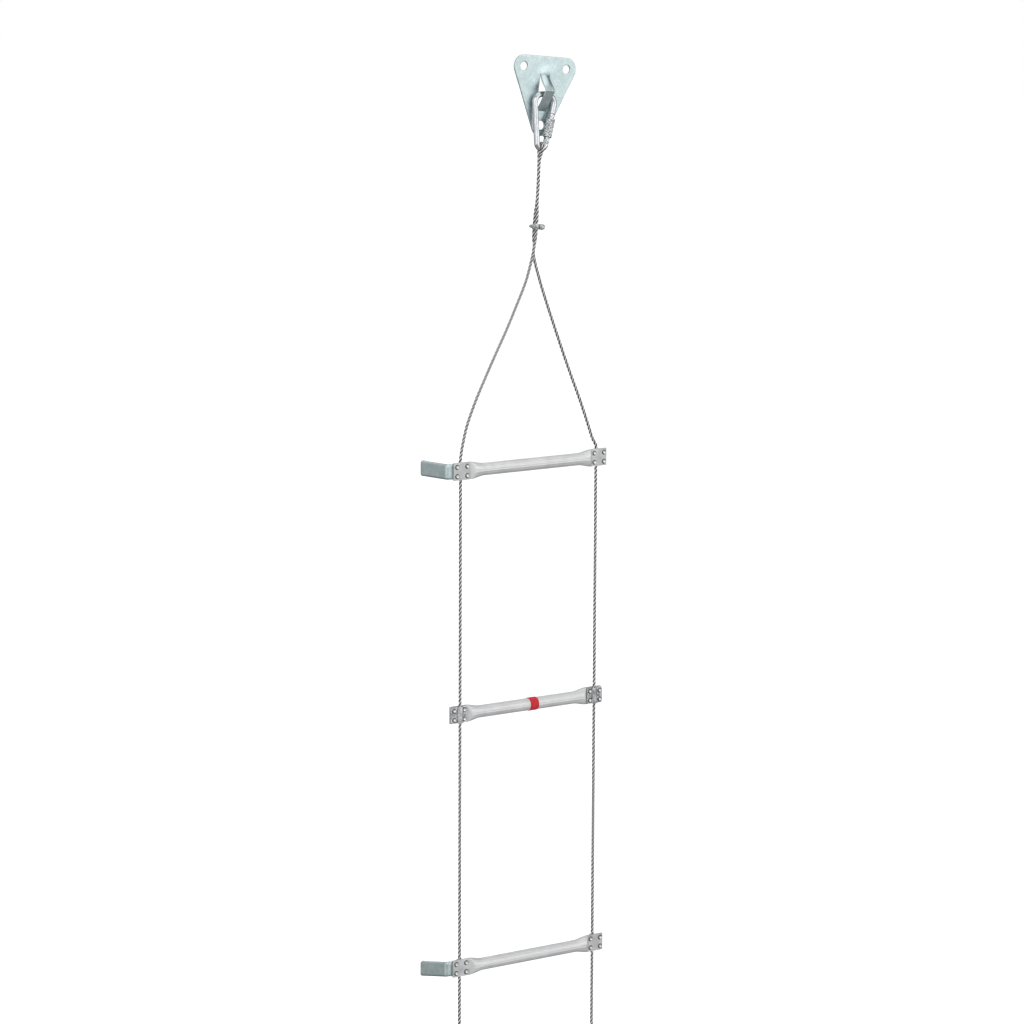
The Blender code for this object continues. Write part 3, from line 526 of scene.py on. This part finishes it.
spots = np.vstack((*loops, inner_spots[inside_sheet(inner_spots, plate_edge_r + 0.0006)]))
flat_spots, _, triangles, *_ = delaunay_2d_cdt(spots.tolist(), edges, [], 0, 1e-7)
flat_spots, triangles = np.array([tuple(p) for p in flat_spots]), np.array(triangles)
triangles = triangles[~in_opening(flat_spots[triangles].mean(1), plate_edge_r - 1e-5)]
patches += [(np.insert(flat_spots, 1, y, axis=1), triangles) for y in (-plate_t, 0.0)]
firsts = np.cumsum([0] + [len(points) for points, _ in patches])
faces = [face for (_, own), first in zip(patches, firsts) for face in (own + first).tolist()]
sheet = bpy.data.meshes.new("sheet")
sheet.from_pydata(np.concatenate([points for points, _ in patches]).tolist(), [], faces)
form = bmesh.new()
form.from_mesh(sheet)
bmesh.ops.remove_doubles(form, verts=form.verts, dist=2e-6)
bmesh.ops.delete(form, geom=[v for v in form.verts if not v.link_faces], context="VERTS")
bmesh.ops.recalc_face_normals(form, faces=form.faces)
form.to_mesh(sheet)
form.free()
place = np.empty(len(sheet.vertices) * 3)
sheet.vertices.foreach_get("co", place)
place = place.reshape(-1, 3)
place[:, 1] -= swell(place[:, 0], place[:, 2])
sheet.vertices.foreach_set("co", place.ravel())


def bridge_rows():
    """The strip's section carried down its profile: out of the sheet, over the crease and back to the sheet.

    It leaves the sheet on a parabola that runs on as a straight line. A running mean along the profile rounds
    its folds, as the press does. The upper leg is arched across: its edges fall back by a share of the
    stand-off that grows with the square of the distance from the middle.
    """
    ease, arch, arch_run, fold_spots = 0.3, 0.95, 0.85, 7
    t = np.linspace(0, 1, 40)
    rise = np.where(t < ease, t**2 / (2 * ease), t - ease / 2) / (1 - ease / 2)
    upper = np.stack((-bridge_top - (bridge_crease - bridge_top) * t, bridge_out * 1.03 * rise), -1)
    line = even(np.vstack(((-bridge_top + 0.003, -0.0003), (-bridge_top, 0.0), upper, (-bridge_foot, 0.0),
                           (-bridge_foot - 0.0022, -0.0004))), 0.0002)
    kernel = np.hanning(2 * fold_spots + 1)
    padded = np.pad(line, ((fold_spots, fold_spots), (0, 0)), mode="edge")
    line = np.stack([np.convolve(padded[:, k], kernel / kernel.sum(), "valid") for k in (0, 1)], -1)
    slope = directions(line)
    run = np.clip((-line[:, 0] - bridge_top) / (bridge_crease - bridge_top), 0, 1)
    crown = arch * np.maximum(0, 1 - run / arch_run) ** 1.5
    edge = bridge_edge
    side, top = bridge_half - edge, bridge_t - edge
    across = np.linspace(-side, side, 17)
    section = np.vstack((np.stack((across, np.zeros(17)), -1), arc((side, edge), edge, -75, 0, 5),
                         arc((side, top), edge, 0, 75, 5), np.stack((-across, np.full(17, bridge_t)), -1),
                         arc((-side, top), edge, 105, 180, 5), arc((-side, edge), edge, 180, 255, 5)))
    x, deep = section[:, 0], section[:, 1]
    arched = 1 - crown[:, None] * (x / bridge_half) ** 2
    out = np.maximum(line[:, 1:], 0) * arched + np.minimum(line[:, 1:], 0)
    height = line[:, :1] - deep * slope[:, 1:]
    y = -plate_t - out - deep * slope[:, :1] - swell(x, height)
    return np.stack((np.broadcast_to(x, out.shape), y, height), -1)


def zinc_plated(name, dull, clean):
    """Zinc plating, cloudy between a dull and a clean tone, with a fine grain and dark specks."""
    finish, shader, flow = finish_of(name, Metallic=0.9)
    grains = flow.node("ShaderNodeTexVoronoi", {"Vector": flow.here(), "Scale": 1500.0, "Randomness": 1.0}, 1)
    grain = grains.node("ShaderNodeSeparateColor", {0: grains}, 0)
    specks = flow.noise(1100.0, 2.0)
    tone = grain * 0.2 + specks * 0.35 + flow.noise(110.0, 4.0, 0.6) * 0.45
    colour = (tone.ramp(0.36, 0.64) - specks.ramp(0.58, 0.68)).blend((*dull, 1.0), (*clean, 1.0))
    colour.into(shader, "Base Color")
    (tone * 0.2 + 0.24).into(shader, "Roughness")
    (specks * 0.7 + grain * 0.3).raised(shader, 0.00002)
    return finish


zinc_finish = zinc_plated("zinc_plating", (0.46, 0.56, 0.57), (0.65, 0.76, 0.77))

form = bmesh.new()
form.from_mesh(sheet)
form.from_mesh(shell(bridge_rows()))
form.to_mesh(sheet)
form.free()
sheet.transform(Matrix.Rotation(plate_turn, 4, "Y"))
fitted("pressed_wall_plate", sheet, zinc_finish, ("wall_plate",), "wall")


# Carabiner: a 7 mm steel rod bent cold into a long pear, polished bright. Its hinge end is flattened to a
# tongue for the gate's fork, and its nose ends in a latch that the gate's slot closes over.
rod_r = 0.0035
carabiner_at = np.array((-0.002926, -0.0062, -0.030391))
carabiner_axes = np.array(((0.987688, 0.0, -0.156434), (-0.014289, 0.99582, -0.090214),
                           (0.155781, 0.091339, 0.98356)))
bow_gap, top_bow_r, bow_corner_r, bow_half, lower_bow_r = 0.0635, 0.022, 0.009, 0.0137, 0.0062
spread = math.asin((bow_half - bow_corner_r) / (top_bow_r - bow_corner_r))
bow_corner = np.array((bow_half - bow_corner_r, (top_bow_r - bow_corner_r) * math.cos(spread) - top_bow_r))
lower_bow = np.array((0.0, lower_bow_r - bow_gap))
to_corner = bow_corner - lower_bow
corner_away = np.linalg.norm(to_corner)
splay = math.atan2(to_corner[0], to_corner[1]) + math.asin((bow_corner_r - lower_bow_r) / corner_away)
up_gate = np.array((math.sin(splay), math.cos(splay)))
gate_pivot = lower_bow + np.array((math.cos(splay), -math.sin(splay))) * lower_bow_r + up_gate * 0.005
gate_long, gap = 0.0315, 0.0003


def hung(points):
    """Points from the carabiner's own frame, placed where it hangs in the bridge."""
    return carabiner_at + points @ carabiner_axes


def leaned(points, angle):
    """Points turned about Y until Z leans towards X by the angle."""
    x, y, z = np.moveaxis(points, -1, 0)
    cosine, sine = math.cos(angle), math.sin(angle)
    return np.stack((x * cosine + z * sine, y, z * cosine - x * sine), -1)


def on_gate(points):
    """Points from the gate's own frame, turned by the gate's splay and moved to its pin."""
    return hung(leaned(points, splay) + np.insert(gate_pivot, 1, 0.0))


def filleted(line, radius, fillet):
    """A radius for each point of the line, which the fillet rounds off towards both ends."""
    reach = distances(line)
    return radius - rounded(np.minimum(reach, reach[-1] - reach), fillet)


def slab(outline, low, high, edge):
    """A flat outline (x, z) with thickness along Y. Its points move in along their normals at both rims."""
    before, after = outline - np.roll(outline, 1, axis=0), np.roll(outline, -1, axis=0) - outline
    normal = before / np.linalg.norm(before, axis=1)[:, None] + after / np.linalg.norm(after, axis=1)[:, None]
    normal = np.stack((normal[:, 1], -normal[:, 0]), -1) / np.linalg.norm(normal, axis=1)[:, None]
    area = (outline[:, 0] * np.roll(outline[:, 1], -1) - outline[:, 1] * np.roll(outline[:, 0], -1)).sum()
    normal *= math.copysign(1, area)
    inset, depth = rims(low, high, edge, 4)
    flat = outline - normal * inset[:, None, None]
    return np.stack((flat[..., 0], np.broadcast_to(depth[:, None], flat.shape[:2]), flat[..., 1]), -1)


bright_finish, shader, flow = finish_of("bright_steel", Metallic=1.0)
haze, scuffs = flow.noise(260.0, 4.0, 0.65), flow.noise(1900.0, 2.0)
haze.ramp(0.3, 0.75).blend((0.46, 0.48, 0.50, 1.0), (0.66, 0.67, 0.69, 1.0)).into(shader, "Base Color")
(haze * 0.14 + scuffs * 0.1 + 0.07).into(shader, "Roughness")
(scuffs * 0.5 + haze * 0.5).raised(shader, 0.00002)

splay_deg, spread_deg = math.degrees(splay), math.degrees(spread)
shoulder = rod_r + 0.0004
rod_line = np.vstack((
    gate_pivot - up_gate * shoulder, arc(lower_bow, lower_bow_r, -splay_deg, -180 + splay_deg, 40),
    arc(bow_corner * (-1, 1), bow_corner_r, 180 + splay_deg, 90 + spread_deg, 24),
    arc((0, -top_bow_r), top_bow_r, 90 + spread_deg, 90 - spread_deg, 24),
    arc(bow_corner, bow_corner_r, 90 - spread_deg, -splay_deg, 24), gate_pivot + up_gate * (gate_long + gap)))
rod_line = even(np.insert(rod_line, 1, 0.0, axis=1), 0.0005)
rod = carried(rod_line, filleted(rod_line, rod_r, 0.0006)[:, None, None] * ring_of(40), (0.0, 1.0, 0.0))
tongue_r, tongue_half, tongue_low = rod_r - gap, 0.0015, -shoulder - 0.001
tongue = np.vstack((arc((0, 0), tongue_r, 0, 180, 16), (-tongue_r, tongue_low), (tongue_r, tongue_low)))
tongue = slab(tongue, -tongue_half, tongue_half, 0.00025)
latch_x, latch_half, latch_low, latch_high = 0.0026, 0.001, gate_long - 0.0042, gate_long + gap + 0.0015
latch = np.array(((-latch_x, latch_low), (latch_x, latch_low), (latch_x, latch_high), (-latch_x, latch_high)))
latch = slab(latch, -latch_half, latch_half, 0.0002)
fitted("bent_rod", shell(hung(rod), on_gate(tongue), on_gate(latch)), bright_finish,
       ("carabiner_body",), "carabiner")


# Screw sleeve: turned from bar, with a crossed knurl between two plain collars so that cold fingers can turn
# it. It runs on the gate, and screwed up it covers the nose.
sleeve_start, sleeve_long, sleeve_r, sleeve_edge, collar = 0.0038, 0.0225, 0.0053, 0.0005, 0.0022
cut_deep, knurl_deep, knurl_rise, knurl_turns, sleeve_columns = 0.00035, 0.0004, 0.0026, 26, 192
low_end = np.r_[np.linspace(0, sleeve_edge, 5), np.linspace(0.0007, collar, 4)]
knurl_span = np.linspace(collar + 0.0003, sleeve_long - collar - 0.0003, 71)
height = np.r_[low_end, knurl_span, sleeve_long - low_end[::-1]]
end = np.minimum(height, sleeve_long - height)
body_r = sleeve_r - rounded(end, sleeve_edge) - cut_deep * np.exp(-(((end - collar) / cut_deep) ** 2))
knurl = np.clip((end - collar) / knurl_deep, 0, 1)[:, None]
share = np.arange(sleeve_columns) / sleeve_columns * knurl_turns
slant = (height / knurl_rise)[:, None]
ridges = np.minimum(*(np.abs((share + way * slant) % 1 - 0.5) * 2 for way in (-1, 1)))
outer = body_r[:, None] - knurl_deep * knurl * (1 - np.minimum(1, ridges * 1.5))
grid = bored(rod_r + 0.0002, outer, height) + (0, 0, sleeve_start)
turned_finish, shader, flow = finish_of("turned_steel", Metallic=1.0)
grime = flow.noise(700.0, 3.0, 0.7)
grime.ramp(0.35, 0.65).blend((0.10, 0.11, 0.12, 1.0), (0.86, 0.88, 0.89, 1.0)).into(shader, "Base Color")
(grime * 0.25 + 0.15).into(shader, "Roughness")
grime.raised(shader, 0.00004)
fitted("knurled_sleeve", shell(on_gate(grid), loop=True), turned_finish,
       ("screw_sleeve",), "sleeve", sharp=55)
for name in ("carabiner_gate", "gate_pin", "gate_plunger", "gate_spring"):
    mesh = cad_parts[name].data
    mesh.materials.clear()
    mesh.materials.append(turned_finish)


# Rope clip: a zinc-plated U bolt behind the pair of ropes, drawn through a cast saddle by two nuts.
# It sits 90 mm below the carabiner and makes the eye.
clip_at, clip_lean = np.array((-0.020118, rope_y, -0.184047)), math.radians(4.2)
leg_half, leg_r, leg_edge, leg_columns, bolt_step = 0.0044, 0.0018, 0.0004, 28, 0.00012
thread_pitch, thread_deep, thread_long = 0.0007, 0.0002, 0.0085
dull_zinc = zinc_plated("dull_zinc_plating", (0.15, 0.16, 0.165), (0.92, 0.94, 0.95))
saddle_back, saddle_t = -pair_apart - 0.0002, 0.0034
nut_t, nut_flat = 0.0028, 0.0033


def on_clip(points):
    """Points from the clip's own frame, leaned with the rope and moved to its place."""
    return clip_at + leaned(points, clip_lean)


nut_back = saddle_back - saddle_t - gap
leg_end = nut_back - nut_t - 0.0016
bolt_line = np.vstack(((leg_half, leg_end), arc((0, pair_apart), leg_half, 0, 180, 40), (-leg_half, leg_end)))
bolt_line = even(np.insert(bolt_line, 2, 0.0, axis=1), bolt_step)
reach = np.arange(len(bolt_line)) * bolt_step
from_end = np.minimum(reach, reach[-1] - reach)
around = 2 * math.pi * np.arange(leg_columns) / leg_columns
hand = np.where(reach < reach[-1] / 2, -1, 1)[:, None]
thread = 0.5 - 0.5 * np.cos(2 * math.pi * (from_end / thread_pitch)[:, None] + hand * around)
threaded = np.clip((thread_long - from_end) / 0.0008, 0, 1)[:, None]
radius = filleted(bolt_line, leg_r, leg_edge)[:, None] - thread_deep * thread * threaded
bolt = carried(bolt_line, radius[..., None] * ring_of(leg_columns), (0.0, 0.0, 1.0))
fitted("clip_bolt", shell(on_clip(bolt)), dull_zinc, ("clip_u_bolt",), "hanger",
       sharp=70)

saddle_half, saddle_tall, saddle_edge = 0.0073, 0.0031, 0.0008
groove_arc = arc((0, -pair_apart), rope_r + 0.0002, 174, 366, 15)
groove_arc[:, 1] = np.minimum(groove_arc[:, 1], saddle_back)
saddle_front = saddle_back - saddle_t
half = np.vstack(((0.0035, saddle_back), (saddle_half - 0.0006, saddle_back),
                  arc((saddle_half - saddle_edge, saddle_back - saddle_edge), saddle_edge, 90, 0, 4),
                  arc((saddle_half - saddle_edge, saddle_front + 0.0012), saddle_edge, 0, -90, 4),
                  (0.0052, saddle_front), (0.0025, saddle_front - 0.0003)))
section = np.vstack((groove_arc, half, half[::-1] * (-1, 1)))
share = np.sin(np.radians(np.linspace(-90, 90, 13)))[:, None]
narrowed = section[:, 0] * (1 - 0.16 * share**4)
saddle = np.stack(np.broadcast_arrays(narrowed, section[:, 1], saddle_tall * share), -1)
fitted("clip_cast_saddle", shell(on_clip(saddle)), dull_zinc, ("clip_saddle",), "hanger")

turn = 2 * math.pi * np.arange(96) / 96
flats = nut_flat / np.cos((turn + math.pi / 6) % (math.pi / 3) - math.pi / 6)
chamfer = np.linspace(0, 0.0006, 5)
depth = np.r_[chamfer, np.linspace(0.0009, nut_t - 0.0009, 4), nut_t - chamfer[::-1]]
cone = nut_flat + np.minimum(depth, nut_t - depth)[:, None] * 1.5 - 0.00005
nut = bored(leg_r, np.minimum(flats, cone), depth)
nut = np.stack((nut[..., 0], nut_back - nut[..., 2], nut[..., 1]), -1)
for side, x in (("left", -leg_half), ("right", leg_half)):
    name = f"clip_hex_nut_{side}"
    fitted(name, shell(on_clip(nut + (x, 0, 0)), loop=True), dull_zinc,
           (f"clip_nut_{side}",), "hanger", sharp=25)


# Rungs: drawn aluminium tube, fluted along its length for grip. A press closes the last 22 mm of each end
# flat. Its die leaves a steep shoulder on both sides, and the tube spreads in height as it closes.
tube_r, tube_wall, flat_t, flat_tall = 0.00745, 0.0013, 0.0028, 0.021
flat_long, flare_long, shoulder_slope = 0.0225, 0.020, 1.25
flutes, flute_deep = 16, 0.00022
channel_r, clamp_out = 0.0023, 0.001
rope_half = (rope_x["right"] - rope_x["left"]) / 2
rung_half = rope_half + clamp_out + flat_long / 2
rung_out = channel_r + flat_t / 2
rung_side = {1: -1, 2: 1, 3: -1, 4: 1}
bodies = {1: "rung_1", 2: "bay_2", 3: "bay_3", 4: "bay_4"}


def rung_rows(x, radius, half_thick, half_tall, flute):
    """Sections of the rung at each x, from a fluted circle to a flat.

    The height spreads by a smooth step along the flare. The thickness t is the lesser of the circle's c and a
    limit m that falls to the flat along the shoulder, with the corner between them eased:
    t = (c**-p + m**-p)**(-1 / p).
    """
    short = rung_half - flat_long - np.abs(x)
    into = np.clip(1 - short / flare_long, 0, 1)
    spread = (into**2 * (3 - 2 * into))[:, None]
    limit = half_thick + shoulder_slope * (short + np.sqrt(short**2 + 0.0009**2))[:, None] / 2
    turn = 2 * math.pi * (np.arange(128) + 0.5) / 128
    cosine, sine = np.cos(turn), np.sin(turn)
    round_r = radius - flute * (0.5 + 0.5 * np.cos(flutes * turn)) ** 2
    flat_z = half_tall * np.sign(sine) * (1 - (1 - np.abs(sine)) ** 1.1)
    y = np.sign(cosine) * ((round_r * np.abs(cosine)) ** -9.0 + limit**-9.0) ** (-1 / 9)
    z = (1 - spread) * round_r * sine + spread * flat_z
    return np.stack((np.broadcast_to(x[:, None], y.shape), y, z), -1)


flat_x = rung_half - flat_long
rung_edge, slit = 0.0004, 0.00012
stops = (0, flat_x - flare_long, flat_x - 0.0075, flat_x + 0.0015, rung_half - rung_edge)
half_x = [np.linspace(a, b, n)[:-1] for a, b, n in zip(stops, stops[1:], (12, 13, 31, 6))]
half_x = np.r_[np.concatenate(half_x), stops[-1]]
outer_x = np.r_[-half_x[:0:-1], half_x]
skin = rung_rows(outer_x, tube_r, flat_t / 2, flat_tall / 2, flute_deep)
hollow = rung_rows(outer_x[::-1], tube_r - tube_wall, slit, flat_tall / 2 - tube_wall, 0)
ends = [np.array([way * rung_half]) for way in (1, -1)]
lip = [rung_rows(x, tube_r, flat_t / 2 - rung_edge, flat_tall / 2 - rung_edge, 0) for x in ends]
mouth = [rung_rows(x, tube_r - tube_wall, slit, flat_tall / 2 - tube_wall, 0) for x in ends]
rung_grid = np.vstack((skin, lip[0], mouth[0], hollow, mouth[1], lip[1]))
for number, body in bodies.items():
    at = np.array((rung_mid_x, rope_y + rung_side[number] * rung_out, rung_z[number]))
    name = f"tube_rung_{number}"
    fitted(name, shell(rung_grid + at, loop=True), aluminium_finish, (f"rung_{number}",), body)


# Clamp plates: 1.8 mm zinc-plated strip with a channel pressed in for the rope, riveted flat against the
# rung's end. At the left of the first and third rungs the strip is bent towards the wall and ends in a foot
# that keeps the ladder off.
clamp_t, clamp_half, clamp_tall, clamp_corner, clamp_edge = 0.0018, 0.0115, 0.00975, 0.002, 0.0005
flange = 0.002
spacer_long, spacer_half, spacer_shelf, spacer_bend, spacer_lip = 0.0502, 0.0092, 0.0035, 0.0025, 0.003
roll_wide, roll_deep = 0.0026, 0.0016
droop = {1: math.tan(math.radians(2.5)), 3: math.tan(math.radians(12.4))}


def clamp_rows(fall):
    """The strip's rounded section carried along its bends, in the clamp's own frame with outboard at -X.

    Each station holds the middle of the strip, its direction through the thickness and its half height. A
    strip that runs on to the wall has a fall, how far it drops for each metre out, and its two long edges are
    rolled back by a share of roll_deep that grows with the square of the distance into the edge. None stands
    for a plain plate.
    """
    spacer = fall is not None
    low = flange - clamp_t
    mid = flange - clamp_t / 2
    outboard, inboard = -clamp_half - clamp_out, clamp_half - clamp_out
    root = channel_r + clamp_t / 2
    channel = arc((0, 0.0003), root - 0.0001, 180, 360, 29)
    line = [(outboard, mid), (-root, mid), channel, (root, mid), (inboard, mid)]
    if spacer:
        bend_x, bend_y = outboard - spacer_shelf, low - spacer_bend
        bend = arc((bend_x, bend_y), spacer_bend + clamp_t / 2, 180, 90, 13)
        far = low - spacer_bend - spacer_long
        foot = arc((bend_x, far), spacer_bend + clamp_t / 2, 270, 180, 13)
        line = [(bend_x + spacer_lip, foot[0, 1]), foot, bend, *line]
    line = even(np.vstack(line), 0.00045)
    for _ in range(2):
        line[1:-1] = (line[:-2] + 2 * line[1:-1] + line[2:]) / 4
    slope = directions(line)
    reach = distances(line)
    end = np.minimum(reach, reach[-1] - reach)
    tall = clamp_tall - rounded(end, clamp_corner)
    if spacer:
        swing = np.clip((line[:, 0] - outboard + 0.001) / 0.003, 0, 1)
        wide = clamp_tall - rounded(np.maximum(line[:, 0] - outboard, 0), 0.0015)
        widened = spacer_half + (wide - spacer_half) * swing**2 * (3 - 2 * swing)
        inner_tall = clamp_tall - rounded(reach[-1] - reach, clamp_corner)
        inner_tall = np.where(reach > reach[-1] / 2, inner_tall, clamp_tall)
        tall = np.where(line[:, 0] < outboard, spacer_half, widened)
        tall = np.minimum(tall, inner_tall) - rounded(reach, 0.002)
    edge = clamp_edge
    thin = clamp_t / 2 - rounded(end, edge)
    corner = arc((0, 0), edge, 0, 90, 5)
    ways = np.array(((1, 1), (-1, 1), (-1, -1), (1, -1)))
    corners = np.concatenate([(corner if a * b > 0 else corner[::-1]) * (a, b) for a, b in ways])
    through = corners[:, 0] + np.repeat(ways[:, 0], 5) * (thin - edge)[:, None]
    upward = corners[:, 1] + np.repeat(ways[:, 1], 5) * (tall - edge)[:, None]
    half = np.array((0.96, 0.91, 0.86, 0.81, 0.76, 0.65, 0.3))
    across = np.r_[half, 0.0, -half[::-1]] * (tall - edge)[:, None]
    face = np.broadcast_to(thin[:, None], across.shape)
    through = np.hstack((through[:, :10], -face, through[:, 10:], face))
    upward = np.hstack((upward[:, :10], across, upward[:, 10:], -across))
    if spacer:
        rolled = np.clip((outboard - line[:, :1]) / 0.0025, 0, 1)
        into = np.clip((np.abs(upward) - tall[:, None] + roll_wide) / roll_wide, 0, 1)
        through = through - roll_deep * rolled * into**2
    x = line[:, :1] - slope[:, 1:] * through
    y = line[:, 1:] + slope[:, :1] * through
    z = upward + np.where(x < -clamp_half, np.minimum(0, y) * (fall or 0.0), 0)
    return np.stack((x, y, z), -1)


def rivet_rows():
    """A tubular rivet along Y: a rolled head with a dimple on the clamp plate and another beyond the rung."""
    low, high = flange - clamp_t, channel_r + flat_t
    head = np.array(((0.0, 0.0008), (0.0005, 0.00085), (0.00095, 0.0011), (0.0013, 0.0014), (0.0017, 0.0014),
                     (0.0021, 0.0008), (0.0030, 0.00012), (0.0030, -0.0002)))
    radius = np.r_[head[:, 0], head[::-1, 0]]
    level = np.r_[low - head[:, 1], (high + head[:, 1])[::-1]]
    radius[[0, -1]] = 0.00004
    head = spun(radius, level, 28)
    return np.stack((head[..., 0], head[..., 2], head[..., 1]), -1)


rivet_finish, shader, flow = finish_of("rivet_steel", Metallic=1.0)
haze = flow.noise(600.0, 3.0)
# V runs from the middle of one head to the middle of the other, and is half_v halfway. The heads' crowns are
# painted near white as a painted highlight, and their skirts near black as painted shade round each head.
half_v = 0.469
crown = abs(flow.node("ShaderNodeUVMap", uv_map="UVMap").part(1) - half_v).ramp(0.17, 0.24)
(crown * 0.8 + haze * 0.25).blend((0.01, 0.01, 0.01, 1.0), (0.95, 0.95, 0.95, 1.0)).into(shader, "Base Color")
(haze * 0.2 + 0.18).into(shader, "Roughness")

rivet_x, rivet_z = 0.0071, 0.0055
for number, body in bodies.items():
    for side, x in rope_x.items():
        way = -1 if side == "left" else 1
        at = np.array((x, rope_y, rung_z[number]))
        turned_out = np.array((-way, rung_side[number], 1.0))
        plate = clamp_rows(droop.get(number) if side == "left" else None) * turned_out + at
        rivet_at = [at + (way * clamp_out + a * rivet_x, 0.0, b * rivet_z) for a in (-1, 1) for b in (-1, 1)]
        rivets = [rivet_rows() * turned_out + spot for spot in rivet_at]
        nodes = (f"clamp_{side}_{number}",)
        plate_finish = zinc_finish if rung_side[number] < 0 else dull_zinc
        fitted(f"channel_plate_{side}_{number}", shell(plate), plate_finish, nodes, body)
        fitted(f"rivets_{side}_{number}", shell(*rivets), rivet_finish, nodes, body)


# Red band: a turn of matt red shrink sleeve on the second rung, which marks the way up.
# It has drawn down into the flutes a little and its two edges are soft.
band_half, band_out, band_edge, band_x = 0.006, 0.0004, 0.0003, rung_mid_x + 0.008
red_finish, shader, flow = finish_of("red_shrink_sleeve", Metallic=0.0, Specular_IOR_Level=0.25)
mottle = flow.noise(380.0, 4.0)
mottle.ramp(0.25, 0.75).blend((0.60, 0.020, 0.032, 1.0), (0.76, 0.042, 0.055, 1.0)).into(shader, "Base Color")
(mottle * 0.2 + 0.33).into(shader, "Roughness")
mottle.raised(shader, 0.00006)
across = np.linspace(-band_half, band_half, 25)
turn = 2 * math.pi * np.arange(128) / 128
outer = tube_r + 0.00015 + band_out - rounded(band_half - np.abs(across), band_edge)
outer = outer[:, None] - 0.00012 * (0.5 + 0.5 * np.cos(flutes * turn)) ** 2
band = bored(tube_r + 0.00005, outer, across)
band = np.stack((band[..., 2], band[..., 0], band[..., 1]), -1)
at = np.array((band_x, rope_y + rung_side[2] * rung_out, rung_z[2]))
fitted("red_sleeve", shell(band + at, loop=True), red_finish, ("red_band",), "bay_2")


# Studio: a pale floor under the ladder, a white surround, and three soft lamps. The largest stands to the
# left, the second fills from the right, and the last lies overhead.
ground_z, near, far = -1.45, 14, 30
ground = bpy.data.meshes.new("ground")
spots = ((-near, -near), (near, -near), (near, far), (-near, far))
ground.from_pydata([(x, y, ground_z) for x, y in spots], [], [(0, 1, 2, 3)])
ground_finish, shader, flow = finish_of("pale_floor", Roughness=0.9)
shader.inputs["Base Color"].default_value = (0.82, 0.82, 0.82, 1.0)
seen = flow.node("ShaderNodeLightPath", {}, "Is Camera Ray")
glow = flow.node("ShaderNodeEmission", {"Color": (1.0, 1.0, 1.0, 1.0), "Strength": seen * 0.75})
lit = flow.node("ShaderNodeAddShader", {0: Flow(flow.tree, shader.outputs[0]), 1: glow})
clear = flow.node("ShaderNodeBsdfTransparent")
mirrored = flow.node("ShaderNodeLightPath", {}, "Is Glossy Ray")
lit = flow.node("ShaderNodeMixShader", {0: mirrored, 1: lit, 2: clear})
lit.into(ground_finish.node_tree.nodes["Material Output"], "Surface")
ground.materials.append(ground_finish)
placed("floor", ground)

world = bpy.data.worlds.new("studio")
world.use_nodes = True
bpy.context.scene.world = world
flow = Flow(world.node_tree)
seen, mirrored = (flow.node("ShaderNodeLightPath", {}, k) for k in ("Is Camera Ray", "Is Glossy Ray"))
direction = flow.node("ShaderNodeTexCoord", {}, 0)
east, north, height = (direction.part(k) for k in range(3))
# What the metal mirrors is a room: pale low down and darker towards the ceiling, with a bright window at the
# right of the front. It is darker at the back, dark at the right, and a little darker where the key lamp adds
# its own light.
room = height.ramp(-0.55, -0.15) * 0.53 - height.ramp(0.4, 0.65) * 0.4 + 0.42
window = height.ramp(-0.1, 0.1) * (1.0 - height.ramp(0.3, 0.5)) * (east * 0.57 - north * 0.81).ramp(0.8, 0.95)
room = room + window
behind = (east * 0.57 + north * 0.82).ramp(-0.3, 0.6) * (1.0 - height.ramp(0.15, 0.5))
beside = east.ramp(0.58, 0.82) * height.ramp(-0.02, 0.15) * (1.0 - height.ramp(0.6, 0.85))
by_key = (east * -0.67 - north * 0.74).ramp(0.75, 0.92)
room = room * (1.0 - behind * 0.64) * (1.0 - beside) * (1.0 - by_key * 0.3)
strength = seen + (1.0 - seen) * (mirrored * room + (1.0 - mirrored) * 0.5)
surround = world.node_tree.nodes["Background"]
surround.inputs["Color"].default_value = (1.0, 1.0, 1.0, 1.0)
strength.into(surround, "Strength")


def lamp(name, at, to, size, power):
    """A square soft box that faces a point."""
    light = bpy.data.lights.new(name, "AREA")
    light.shape, light.size, light.energy = "SQUARE", size, power
    made = placed(name, light)
    made.location = at
    made.rotation_euler = (made.location - Vector(to)).to_track_quat("Z", "Y").to_euler()


lamp("key", (-2.2, -2.4, 1.0), (-0.03, 0.0, -0.5), 3.4, 36.0)
lamp("fill", (3.2, -1.6, 0.6), (-0.03, 0.0, -0.6), 2.2, 12.0)
lamp("overhead", (0.3, -0.6, 2.0), (-0.03, 0.0, -0.3), 2.2, 14.0)
bpy.context.scene.view_settings.view_transform = "Standard"
